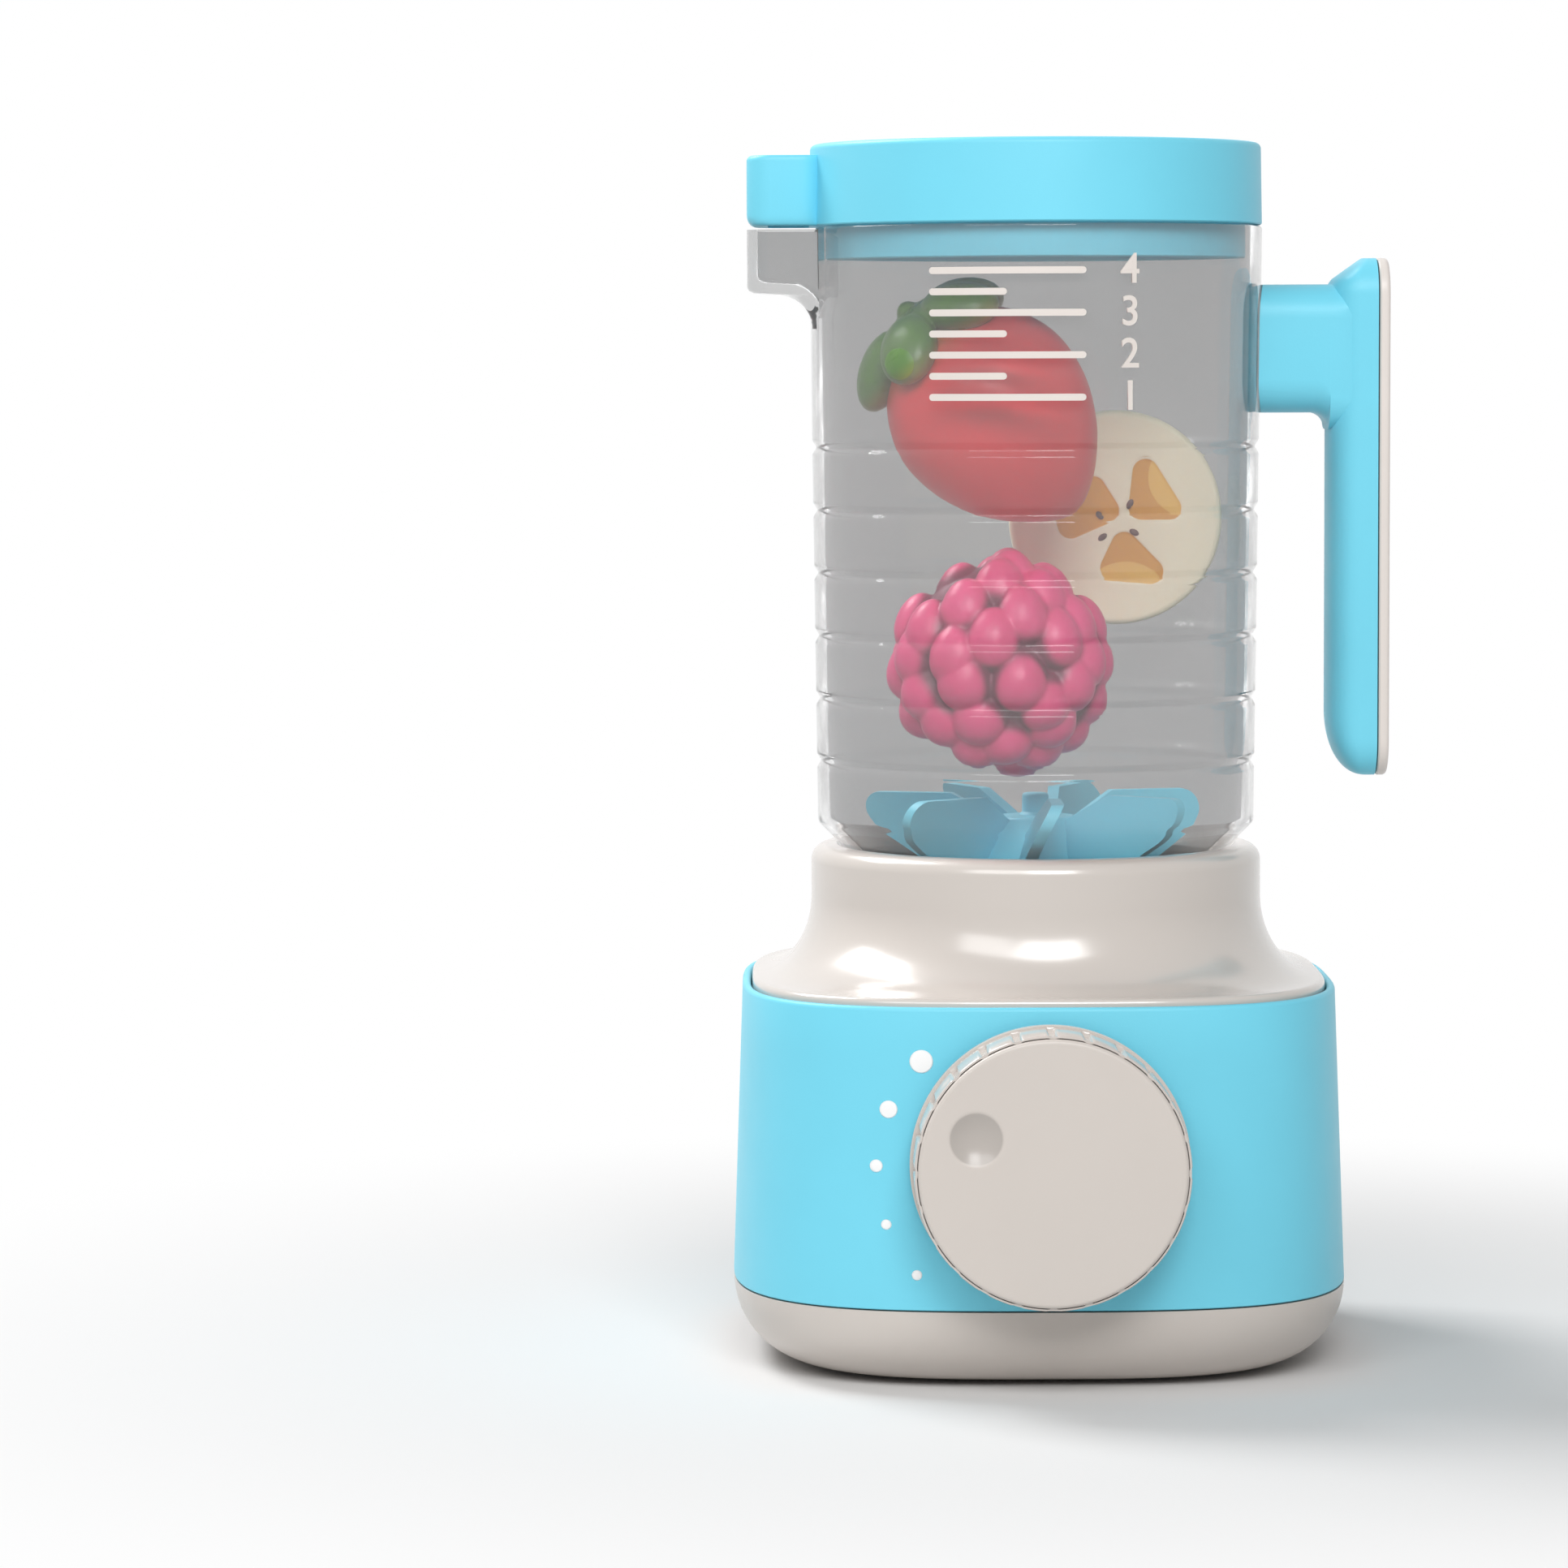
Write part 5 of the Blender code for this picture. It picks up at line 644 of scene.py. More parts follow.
def make_lights():
    builder = bmesh.new()
    for x, z, radius in light_places():
        front = front_y(x, z) - 0.0001
        slope = (front_y(x + 0.001, z) - front_y(x - 0.001, z)) / 0.002
        profile = [(radius, PEG_DEPTH), (radius, 0.0002), (radius - 0.0002, 0.0)]
        profile += [(radius * 0.5, -0.0001), (TIP, -0.00012)]
        rings = []
        for ring_radius, depth in profile:
            disc = arc((0, 0), ring_radius, 0, 360, 40)[:-1]
            rings.append([(x + across, front + depth + slope * across, z + rise) for across, rise in disc])
        sheath(builder, rings)
    lights = finish("level_light_pegs", builder)
    dress(lights, "base", "white", "level_lights")


# Dial

DIAL_BACK_Y = -0.0639
DIAL_FRONT_Y = -0.07933
DIAL_RADIUS = 0.0275
FLANGE_RADIUS = 0.0281
FACE_RADIUS = 0.0268
FACE_ROUND = 0.0009
NOTCHES = 24
NOTCH_DEPTH = 0.00085
DIMPLE_ANGLE = radians(155.3)
DIMPLE_OFFSET = 0.0168
DIMPLE_RADIUS = 0.0055
DIMPLE_DEPTH = 0.0016


def dial_point(radius, angle, out):
    """Point at a radius and angle around the dial's axis, at a distance from its back plane."""
    return Vector((radius * cos(angle), DIAL_BACK_Y - out, DIAL_Z + radius * sin(angle)))


def make_dial():
    """Skirt from a section of radius, distance out and depth of notch (0 to 1), and its face."""
    depth = DIAL_BACK_Y - DIAL_FRONT_Y
    front = depth - 0.0010
    pocket = depth - 0.0026
    inner = 0.0271
    profile = [(inner, pocket, 0.0), (inner, front - 0.0003, 0.0), (inner + 0.0002, front, 0.0)]
    profile += [(DIAL_RADIUS - 0.0005, front, 0.2), (DIAL_RADIUS - 0.0002, front - 0.0002, 0.7)]
    profile += [(DIAL_RADIUS, front - 0.0006, 1.0), (DIAL_RADIUS, 0.0022, 1.0), (DIAL_RADIUS, 0.0018, 0.3)]
    plain = [(DIAL_RADIUS, 0.0016), (0.0279, 0.0016), (FLANGE_RADIUS, 0.0014), (FLANGE_RADIUS, 0.0002)]
    plain += [(0.0279, 0.0), (0.0253, 0.0), (0.0253, pocket - 0.0022), (0.0050, pocket - 0.0022)]
    plain += [(0.0050, 0.0), (0.0031, 0.0), (0.0031, pocket)]
    profile += [(radius, out, 0.0) for radius, out in plain]

    def skirt_point(radius, out, notched, angle):
        off = abs((angle / tau * NOTCHES + 0.5) % 1 - 0.5) * tau / NOTCHES * DIAL_RADIUS
        dip = NOTCH_DEPTH * notched * (1 - clamp((off - 0.00045) / 0.0005) ** 2)
        return dial_point(radius - dip, angle, out)

    skirt = skin("dial_skirt", rings_by(profile, NOTCHES * 24, skirt_point), looped=True, sharp=40.0)
    dress(skirt, "dial", "greige", "dial_ring", material=FINISHES["gloss"])
    dimple = Vector((DIMPLE_OFFSET * cos(DIMPLE_ANGLE), DIMPLE_OFFSET * sin(DIMPLE_ANGLE)))
    flat = FACE_RADIUS - FACE_ROUND
    rows = [(FACE_RADIUS, depth - 0.0023), (FACE_RADIUS, depth - 0.0011)]
    rows += arc((flat, depth - FACE_ROUND), FACE_ROUND, 0, 90, 8)
    rows += [(flat * (1 - step / 90), depth) for step in range(1, 90)]

    def face_point(radius, out, angle):
        off = (Vector((radius * cos(angle), radius * sin(angle))) - dimple).length / DIMPLE_RADIUS
        lip = 0.06 * max(0.0, 1 - abs(off - 1.0) / 0.10)
        return dial_point(radius, angle, out - DIMPLE_DEPTH * max(1 - off * off, 0.0) - 0.0006 * lip)

    face = skin("dial_face", rings_by(rows, 360, face_point), sharp=50.0)
    dress(face, "dial", "greige", "dial_cap", material=dial_face_plastic(dimple))


# Jug

JUG_FOOT_Z = 0.0855
JUG_WEB_Z = 0.0950
JUG_FLOOR_Z = 0.0974
GROOVES = 6
FIRST_GROOVE = 0.0128
GROOVE_PITCH = 0.0131
GROOVE_WIDTH = 0.0030
GROOVE_DEPTH = 0.00083
# Place in shares of half the width, and depth in shares of the full depth, down a groove
GROOVE_SECTION = (
    (1.12, 0.0), (1.04, 0.01), (0.96, 0.05), (0.86, 0.14), (0.55, 0.46),
    (0.22, 0.84), (0.1, 0.95), (0.0, 0.985), (-0.1, 0.95), (-0.22, 0.84),
    (-0.55, 0.46), (-0.86, 0.14), (-0.96, 0.05), (-1.04, 0.01), (-1.12, 0.0),
)
SPOUT_FALL = 0.0137
SPOUT_BLEND = 0.0070


def jug_radius(height):
    share = (height - SHOULDER_Z) / (JUG_RIM_Z - SHOULDER_Z)
    return JUG_BOTTOM_RADIUS + share * (JUG_TOP_RADIUS - JUG_BOTTOM_RADIUS)


def grooves(inset):
    """Section of all grooves from the top one down, at an inset from the jug's outside."""
    section = []
    for number in reversed(range(GROOVES)):
        middle = SHOULDER_Z + FIRST_GROOVE + GROOVE_PITCH * number
        for share, depth in GROOVE_SECTION:
            height = middle + GROOVE_WIDTH / 2 * share
            section.append((jug_radius(height) - inset - GROOVE_DEPTH * depth, height))
    return section


def jug_section():
    """The jug's section from its rim down the outside, round the floor and up the inside."""
    neck = CUP_RADIUS - GAP
    neck_top = SHOULDER_Z - (JUG_BOTTOM_RADIUS - neck)
    inner = neck - JUG_WALL
    bore = BEARING_HOLE_RADIUS
    section = [(JUG_TOP_RADIUS - JUG_WALL + 0.0004, JUG_RIM_Z)]
    section += arc((JUG_TOP_RADIUS - 0.0006, JUG_RIM_Z - 0.0006), 0.0006, 90, 0, 4) + grooves(0.0)
    section += [(JUG_BOTTOM_RADIUS, SHOULDER_Z + 0.0004), (JUG_BOTTOM_RADIUS - 0.0002, SHOULDER_Z - 0.0002)]
    section += [(neck + 0.0003, neck_top + 0.0003), (neck, neck_top - 0.0003), (neck, JUG_FOOT_Z + 0.0004)]
    section += [(neck - 0.0004, JUG_FOOT_Z), (inner + 0.0004, JUG_FOOT_Z), (inner, JUG_FOOT_Z + 0.0004)]
    section += [(inner, JUG_WEB_Z), (bore, JUG_WEB_Z), (bore, JUG_FLOOR_Z), (inner - 0.0010, JUG_FLOOR_Z)]
    section += [(inner - 0.0003, JUG_FLOOR_Z + 0.0003), (inner, JUG_FLOOR_Z + 0.0010)]
    section += [(inner, neck_top + 0.0008), (inner + 0.0004, neck_top + 0.0014)]
    wall_foot = SHOULDER_Z + JUG_WALL * 0.42
    wall_inner = jug_radius(wall_foot) - JUG_WALL
    section += [(wall_inner - 0.0003, wall_foot - 0.0003), (wall_inner, wall_foot + 0.0004)]
    section += grooves(JUG_WALL)[::-1]
    return section + [(JUG_TOP_RADIUS - JUG_WALL, JUG_RIM_Z - 0.0004)]


def spout_rings(reach, half, corner, wall, top):
    """Plan sections of the spout from the blend below its floor up to its rim."""
    root = -JUG_BOTTOM_RADIUS / 2
    floor = JUG_RIM_Z - SPOUT_FALL + wall
    blend = reach - 0.0064 - SPOUT_BLEND
    levels = [(blend + inset, floor - 0.0003 - fall) for inset, fall in quarter(SPOUT_BLEND, 12)]
    levels += [(reach - 0.0020, floor), (reach - 0.00128, floor + 0.000144)]
    levels += [(reach - 0.0003, floor + 0.0007), (reach, floor + 0.0014), (reach, top)]
    return [lift(rounded_rectangle((-tip, -half), (root, half), corner), z) for tip, z in levels]


def jug_cone(name, grow, top, count):
    """Solid cone of the jug's outside, grown outwards, from its shoulder up to a height."""
    section = [(TIP, top), (JUG_TOP_RADIUS + grow, top)]
    section += [(JUG_BOTTOM_RADIUS + grow, SHOULDER_Z), (TIP, SHOULDER_Z)]
    return spin(name, section, count=count)


def make_jug():
    jug = spin("jug_shell", jug_section(), looped=True, count=256, sharp=40.0)
    spout = skin("spout", spout_rings(SPOUT_REACH, SPOUT_HALF, SPOUT_CORNER, 0.0, JUG_RIM_Z - 0.0005))
    cut(spout, jug_cone("trim", -JUG_WALL / 2, JUG_RIM_Z + PAST, 256))
    join(jug, spout)
    inside = [size - SPOUT_WALL for size in (SPOUT_REACH, SPOUT_HALF, SPOUT_CORNER)]
    cut(jug, skin("channel", spout_rings(*inside, SPOUT_WALL, JUG_RIM_Z + PAST)))
    resmooth(jug, 40.0)
    dress(jug, "jug", "clear", "jug", "jug_spout", "handle_socket")


# Measuring scale: raised ticks with plain numbers on the jug's front

MARK_LEFT = -0.0235
MARK_HEIGHTS = (0.1990, 0.2075, 0.2160, 0.2245)
MARK_STEP = 0.0085
TICK_HALF = 0.0007
LONG_TICK = 0.0310
SHORT_TICK = 0.0150
DIGIT_SIZE = 0.0085
DIGIT_X = 0.0175


def wrap(mesh):
    """Lays a flat mesh on the jug: X runs around it, Y up it and Z out of it."""
    for vertex in mesh.vertices:
        across, height, out = vertex.co
        angle = across / jug_radius(height) - pi / 2
        radius = jug_radius(height) + out
        vertex.co = (radius * cos(angle), radius * sin(angle), height)


def tick(builder, length, height):
    half = TICK_HALF
    outline = arc((MARK_LEFT + length, height), half, -90, 90, 8)
    outline += [(MARK_LEFT + length * (1 - step / 24), height + half) for step in range(1, 24)]
    outline += arc((MARK_LEFT, height), half, 90, 270, 8)
    outline += [(MARK_LEFT + length * step / 24, height - half) for step in range(1, 24)]
    top = sheath(builder, [lift(outline, out) for out in (-0.0001, 0.00025)])
    bmesh.ops.triangulate(builder, faces=[top])


def make_marks():
    builder = bmesh.new()
    for height in MARK_HEIGHTS:
        tick(builder, LONG_TICK, height)
        if height != MARK_HEIGHTS[-1]:
            tick(builder, SHORT_TICK, height + MARK_STEP / 2)
    scale = finish("scale_ticks", builder)
    wrap(scale.data)
    # The raised ticks and numbers are print, coloured in the lighter greige copy as painted light.
    dress(scale, "jug", "greige", material=FINISHES["print"])
    for number, height in enumerate(MARK_HEIGHTS, start=1):
        text = bpy.data.curves.new("digit", "FONT")
        text.body = str(number)
        text.size = DIGIT_SIZE
        text.align_x = text.align_y = "CENTER"
        text.offset, text.extrude = 0.00008, 0.000175
        text.resolution_u = 8
        holder = place_data("digit", text)
        mesh = settled(holder)
        bpy.data.objects.remove(holder)
        mesh.transform(Matrix.Translation((DIGIT_X, height, 0.000075)))
        wrap(mesh)
        mesh.name = f"scale_number_{number}"
        dress(place_data(mesh.name, mesh), "jug", "greige", material=FINISHES["print"])


# Lid

LID_HEIGHT = 0.0169
LID_RADIUS = 0.04715
LID_TOP_RADIUS = 0.0469
LID_ROUND = 0.0012
LID_WALL = 0.0022
PLUG_RADIUS = 0.0437
PLUG_WALL = 0.0013
PLUG_DEPTH = 0.0071
COVER_SOFT = 0.0022
COVER_ROUND = 0.0012


def make_lid():
    bottom = JUG_RIM_Z + GAP
    top = bottom + LID_HEIGHT
    foot = bottom - PLUG_DEPTH
    wall = PLUG_RADIUS - PLUG_WALL
    section = [(TIP, top)] + [(0.0459 * step / 8, top) for step in range(1, 8)]
    section += arc((LID_TOP_RADIUS - LID_ROUND, top - LID_ROUND), LID_ROUND, 90, 0, 8)
    section += [(LID_RADIUS - 0.00002, bottom + 0.0008), (LID_RADIUS, bottom + 0.0003)]
    section += [(LID_RADIUS - 0.0003, bottom), (PLUG_RADIUS + 0.0002, bottom), (PLUG_RADIUS, bottom - 0.0002)]
    section += [(PLUG_RADIUS, foot + 0.0003), (PLUG_RADIUS - 0.0003, foot), (wall + 0.0003, foot)]
    section += [(wall, foot + 0.0003), (wall, top - 0.0030), (wall - 0.0008, top - LID_WALL)]
    section += [(TIP, top - LID_WALL)]
    lid = spin("lid_shell", section, count=256)
    cover_top = top - 0.0024
    levels = [(fall, bottom + inset) for inset, fall in quarter(COVER_SOFT, 8)]
    levels += [(0.0, cover_top - COVER_ROUND)]
    levels += [(inset, cover_top - fall) for inset, fall in quarter(COVER_ROUND, 6, 1)]
    rings = []
    for inset, z in levels:
        low = (-SPOUT_REACH + inset, -SPOUT_HALF + inset / 2)
        high = (-PLUG_RADIUS - GAP, SPOUT_HALF - inset / 2)
        rings.append(lift(rounded_rectangle(low, high, SPOUT_CORNER - inset / 2), z))
    join(lid, skin("cover", rings))
    low = (-SPOUT_REACH + 0.0044, -SPOUT_HALF + SPOUT_WALL)
    hollow = rounded_rectangle(low, (-LID_RADIUS, SPOUT_HALF - SPOUT_WALL), 0.0015)
    cut(lid, slab("hollow", hollow, bottom - PAST, cover_top - SPOUT_WALL))
    resmooth(lid)
    soften(lid, 0.0004, 3)
    dress(lid, "lid", "turquoise", "lid")


# Handle

HANDLE_FOOT_Z = HANDLE_TOP_Z - HANDLE_LENGTH
CORNER_ROUND = 0.0075
FOOT_ROUND = 0.0135
HEAD_ROUND = 0.0052
GRIP_DEPTH = 0.0099
GRIP_EDGE = 0.0025
GRIP_FACET = 0.0028
ARM_ROOT = 0.0342
ARM_DROP = 0.0121
ARM_HEIGHT = 0.0266
ARM_FILLET = 0.0035
ARM_CORNER = 0.0070
STRIP_FRONT = 0.0709
STRIP_BACK = 0.0731
STRIP_ROUND = 0.0009


def grip_half(z):
    """Half width of the grip at a height; its ends are rounded as seen from behind."""
    from_end = min(HANDLE_TOP_Z - z, z - HANDLE_FOOT_Z)
    if from_end >= CORNER_ROUND:
        return HANDLE_HALF
    across = max(CORNER_ROUND ** 2 - (CORNER_ROUND - from_end) ** 2, 0.0)
    return HANDLE_HALF - CORNER_ROUND + sqrt(across)


def grip_inner(z):
    """Distance from the axis to the grip's finger side at a height."""
    from_top = (HANDLE_TOP_Z - z) / HEAD_ROUND
    from_foot = min((z - HANDLE_FOOT_Z) / FOOT_ROUND, 1)
    blend = min(from_top, 1)
    if 0.8 < from_top < 1.4:
        blend = 1 - (1.4 - from_top) ** 2 * 0.55
    reach = min(blend, sqrt(1 - (1 - from_foot) ** 2))
    return HANDLE_BACK - GRIP_EDGE - (GRIP_DEPTH - GRIP_EDGE) * reach


def make_handle():
    heights = [HANDLE_FOOT_Z + rise for rise, fall in quarter(FOOT_ROUND, 20)]
    straight = HANDLE_LENGTH - FOOT_ROUND - CORNER_ROUND
    heights += [HANDLE_FOOT_Z + FOOT_ROUND + straight * step / 20 for step in range(1, 20)]
    heights += [HANDLE_TOP_Z - fall for rise, fall in quarter(CORNER_ROUND, 24)]
    rings = []
    for z in heights:
        inner = grip_inner(z)
        half = grip_half(z)
        facet = HANDLE_BACK - min(GRIP_FACET, (HANDLE_BACK - inner) / 2)
        ring = [Vector((HANDLE_BACK, -half, z))]
        for step in range(33):
            turn = -pi / 2 + pi * step / 32
            x = facet - (facet - inner) * max(cos(turn), 0) ** 0.8
            ring.append(Vector((x, half * copysign(abs(sin(turn)) ** 0.8, turn), z)))
        ring.append(Vector((HANDLE_BACK, half, z)))
        rings.append(ring)
    grip = skin("handle_grip", rings, sharp=40.0)
    arm_top = JUG_RIM_Z - ARM_DROP
    arm_half = HANDLE_HALF * 0.96
    inner = HANDLE_BACK - GRIP_DEPTH
    stations = [(ARM_ROOT, 0.0)]
    stations += [(inner - fall, spread) for spread, fall in quarter(ARM_FILLET, 8)]
    stations.append(((inner + HANDLE_BACK) / 2, ARM_FILLET))
    rings = []
    for x, spread in stations:
        low = (-arm_half, arm_top - ARM_HEIGHT - spread)
        outline = rounded_rectangle(low, (arm_half, arm_top), ARM_CORNER)
        rings.append([Vector((x, y, z)) for y, z in outline])
    join(grip, skin("arm", rings))
    cut(grip, jug_cone("saddle", GAP, JUG_RIM_Z, RING))
    resmooth(grip, 40.0)
    soften(grip, 0.0005, 3, 30.0)
    dress(grip, "jug", "turquoise", "handle")


def make_strip():
    levels = [(0.0003, STRIP_FRONT), (0.0, STRIP_FRONT + 0.0003)]
    levels += [(inset, STRIP_BACK - fall) for inset, fall in quarter(STRIP_ROUND, 6)]
    rings = []
    for inset, x in levels:
        low = (HANDLE_FOOT_Z + inset, -HANDLE_HALF + inset)
        high = (HANDLE_TOP_Z - inset, HANDLE_HALF - inset)
        outline = rounded_rectangle(low, high, CORNER_ROUND - inset, 16)
        rings.append([Vector((x, y, z)) for z, y in outline])
    strip = skin("handle_strip", rings)
    # The strip takes the lighter greige copy as painted light.
    dress(strip, "jug", "greige", "handle_back", material=FINISHES["print"])


# Blades

BLADES = 7
BLADE_TURN = radians(-90.0)
BLADE_RISE = 0.0168
BLADE_THICKNESS = 0.0026
BLADE_LEAN = 0.0062
HUB_BORE = 0.00265


def vane(number):
    """One leaning plate: an outline in radius and height, bent sideways as it rises."""
    top = HUB_Z + BLADE_RISE
    points = [(0.0040, HUB_Z), (0.0215, HUB_Z), (0.0335, top - 0.0085), (0.0362, top - 0.0042)]
    points += [(0.0352, top), (0.0172, top), (0.0085, top - 0.0054), (0.0040, top - 0.0060)]
    radii = (0.0001, 0.004, 0.006, 0.004, 0.0032, 0.0012, 0.0008, 0.0001)
    outline = rounded(points, radii)
    angle = BLADE_TURN + tau * number / BLADES
    out = Vector((cos(angle), sin(angle), 0))
    aside = Vector((-sin(angle), cos(angle), 0))
    builder = bmesh.new()
    face = builder.faces.new([builder.verts.new((point.x, point.y, 0)) for point in outline])
    bmesh.ops.triangulate(builder, faces=[face])
    for level in range(1, 17):
        height = HUB_Z + BLADE_RISE * level / 17
        geometry = builder.verts[:] + builder.edges[:] + builder.faces[:]
        bmesh.ops.bisect_plane(builder, geom=geometry, plane_co=(0, height, 0), plane_no=(0, 1, 0))
    made = bmesh.ops.extrude_face_region(builder, geom=builder.faces[:])
    shifted = [item for item in made["geom"] if isinstance(item, bmesh.types.BMVert)]
    bmesh.ops.translate(builder, verts=shifted, vec=(0, 0, BLADE_THICKNESS))
    for vertex in builder.verts:
        along, height, across = vertex.co
        share = max(height - HUB_Z, 0.0) / BLADE_RISE
        lean = BLADE_LEAN * share ** 1.6 - BLADE_LEAN / 2
        vertex.co = out * along + aside * (lean + across - BLADE_THICKNESS / 2) + Vector((0, 0, height))
    return finish(f"vane_{number}", builder, 50.0)


def make_rotor():
    section = [(TIP, HUB_Z + BLADE_RISE)] + arc((0.0020, HUB_Z + 0.0160), 0.0008, 90, 0, 5)
    section += [(0.0028, HUB_Z + 0.0128), (0.0034, HUB_Z + 0.0122), (0.0070, HUB_Z + 0.0120)]
    section += arc((0.0076, HUB_Z + 0.0110), 0.0010, 70, 10, 4)
    section += [(0.0130, HUB_Z + 0.0012), (0.0132, HUB_Z), (HUB_BORE, HUB_Z)]
    section += [(HUB_BORE, HUB_Z + 0.009), (TIP, HUB_Z + 0.009)]
    rotor = spin("blade_set", section, count=96, sharp=35.0)
    for number in range(BLADES):
        join(rotor, vane(number))
    resmooth(rotor, 35.0)
    soften(rotor, 0.0003, 2, 40.0)
    dress(rotor, "blades", "turquoise", "blade_rotor")


# Play food

def smooth_shares(shares, count):
    """Catmull-Rom samples through a table of values."""
    samples = []
    last = len(shares) - 1
    for index in range(count + 1):
        place = index / count * last
        low = min(int(place), last - 1)
        share = place - low
        before, here = shares[max(low - 1, 0)], shares[low]
        after, beyond = shares[low + 1], shares[min(low + 2, last)]
        samples.append(
            here + share * (after - before) / 2
            + share ** 2 * (before - 2.5 * here + 2 * after - beyond / 2)
            + share ** 3 * (1.5 * (here - after) + (beyond - before) / 2)
        )
    return samples


STRAWBERRY_PLACE = Vector((-0.0085, -0.0177, 0.1943))
STRAWBERRY_TURN = Matrix.Rotation(radians(-40), 4, "Y")
STRAWBERRY_SPAN = 0.0500
STRAWBERRY_RADIUS = 0.0207
# Its section as shares of the span and of the radius, from the leaves to the point
BODY_HEIGHTS = (1.0, 0.93, 0.80, 0.62, 0.42, 0.24, 0.10, 0.02, 0.0)
BODY_RADII = (0.0, 0.50, 0.82, 0.99, 0.95, 0.75, 0.46, 0.18, 0.0)


def make_strawberry():
    heights = smooth_shares(BODY_HEIGHTS, 64)
    radii = smooth_shares(BODY_RADII, 64)
    rings = []
    for along, across in zip(heights, radii):
        radius = max(STRAWBERRY_RADIUS * across, TIP)
        rings.append(squircle(radius, (along - 0.5) * STRAWBERRY_SPAN, count=96))
    body = skin("strawberry_body", rings)
    paint(body, "leafward", lambda place: place.z / STRAWBERRY_SPAN + 0.5)
    body.data.transform(Matrix.Translation(STRAWBERRY_PLACE) @ STRAWBERRY_TURN)
    dress(body, "jug", "strawberry", "strawberry")


def blob(builder, centre, sizes, turn=None):
    """Adds an ellipsoid with its own turn to a bmesh."""
    made = bmesh.ops.create_icosphere(builder, subdivisions=3, radius=1.0)
    matrix = Matrix.Translation(centre) @ (turn or Matrix()) @ Matrix.Diagonal((*sizes, 1.0))
    bmesh.ops.transform(builder, matrix=matrix, verts=made["verts"])


def fuse(name, builder, voxel, smoothing, repeats):
    """Overlapping closed forms remeshed into one skin and relaxed."""
    piece = finish(name, builder, 180.0)
    remesh = piece.modifiers.new("fuse", "REMESH")
    remesh.mode = "VOXEL"
    remesh.voxel_size = voxel
    remesh.use_smooth_shade = True
    relax = piece.modifiers.new("relax", "SMOOTH")
    relax.factor = smoothing
    relax.iterations = repeats
    settle(piece)
    piece.data.shade_smooth()
    return piece


LEAF_ANGLES = (29, 101, 173, 245, 317)
LEAF_DROOP = Matrix.Rotation(radians(32), 4, "Y")


def make_leaves():
    builder = bmesh.new()
    blob(builder, (0, 0, 0.0000), (0.0100, 0.0100, 0.0042))
    blob(builder, (0, 0, 0.0030), (0.0026, 0.0026, 0.0030))
    for degrees in LEAF_ANGLES:
        turn = Matrix.Rotation(radians(degrees), 4, "Z")
        blob(builder, turn @ Vector((0.0118, 0, -0.0022)), (0.0088, 0.0068, 0.0048), turn @ LEAF_DROOP)
    leaves = fuse("strawberry_crown", builder, 0.00035, 0.5, 6)
    paint(leaves, "leafward", lambda place: clamp((place.z + 0.0095) / 0.0065))
    rise = Matrix.Translation((0, 0, STRAWBERRY_SPAN / 2))
    leaves.data.transform(Matrix.Translation(STRAWBERRY_PLACE) @ STRAWBERRY_TURN @ rise)
    dress(leaves, "jug", "leaf", "strawberry_leaves")


RASPBERRY_PLACE = Vector((-0.0081, -0.0178, 0.1444))
DRUPELET_RADIUS = 0.0059
BERRY_REACH = 0.0176
# Places across and up from the berry's middle, in millimetres, of the drupelets in front;
# they are mirrored to the back
DRUPELETS = (
    (-0.4, 18.2), (9.3, 15.6), (-8.4, 13.4), (4.6, 11.5), (-16.9, 8.0), (-2.3, 6.4), (12.7, 6.2),
    (16.6, 9.0), (-11.1, 2.4), (19.0, 1.1), (-9.2, -3.1), (3.9, -3.4), (16.2, -3.9), (9.6, -8.4),
    (-18.0, -6.4), (20.2, -8.4), (-5.6, -11.9), (0.6, -17.0), (8.5, -18.6), (15.8, -15.4), (-13.2, -12.6),
    (4.4, -21.0), (-5.7, -18.0), (11.4, -12.8), (-19.6, 2.2), (2.4, 20.2), (11.2, 16.4),
)
# The same for single drupelets on its left and right sides
SIDE_DRUPELETS = ((-18.4, 8.6), (-20.3, -2.0), (-17.8, -11.0), (18.8, 8.0), (20.6, 0.5))
# One more, in metres and set deeper, on its left shoulder
SHOULDER_DRUPELET = Vector((-0.0076, 0.0, 0.0137))


def drupelet(builder, centre):
    """Adds one ovoid with its narrow end up."""
    made = bmesh.ops.create_icosphere(builder, subdivisions=3, radius=1.0)
    for vertex in made["verts"]:
        narrow = 1 - 0.16 * vertex.co.z
        vertex.co = Vector((vertex.co.x * narrow, vertex.co.y * narrow, vertex.co.z * 1.16)) * DRUPELET_RADIUS
        vertex.co += centre


def make_raspberry():
    builder = bmesh.new()
    blob(builder, (0, 0, 0), (0.0192, 0.0192, 0.0200))
    for x, z in DRUPELETS:
        depth = sqrt(max(21.5 ** 2 - x * x - z * z, 0.0))
        for side in (-1, 1) if depth > 3.0 else (0,):
            drupelet(builder, Vector((x, side * depth, z)).normalized() * BERRY_REACH)
    for x, z in SIDE_DRUPELETS:
        drupelet(builder, Vector((x, 0, z)).normalized() * BERRY_REACH)
    drupelet(builder, SHOULDER_DRUPELET)
    berry = fuse("raspberry_fruit", builder, 0.0004, 0.5, 3)
    # The swell value sets where the raspberry's painted shade falls, in the gaps between drupelets.
    paint(berry, "swell", lambda place: clamp((place.length - 0.0202) / 0.0034))
    berry.data.transform(Matrix.Translation(RASPBERRY_PLACE))
    dress(berry, "jug", "raspberry", "raspberry")


BANANA_PLACE = Vector((0.0177, 0.0151, 0.1731))
BANANA_RADIUS = 0.0226
BANANA_HALF = 0.0030
BANANA_ROUND = 0.0014
CHAMBER_DIP = 0.0003
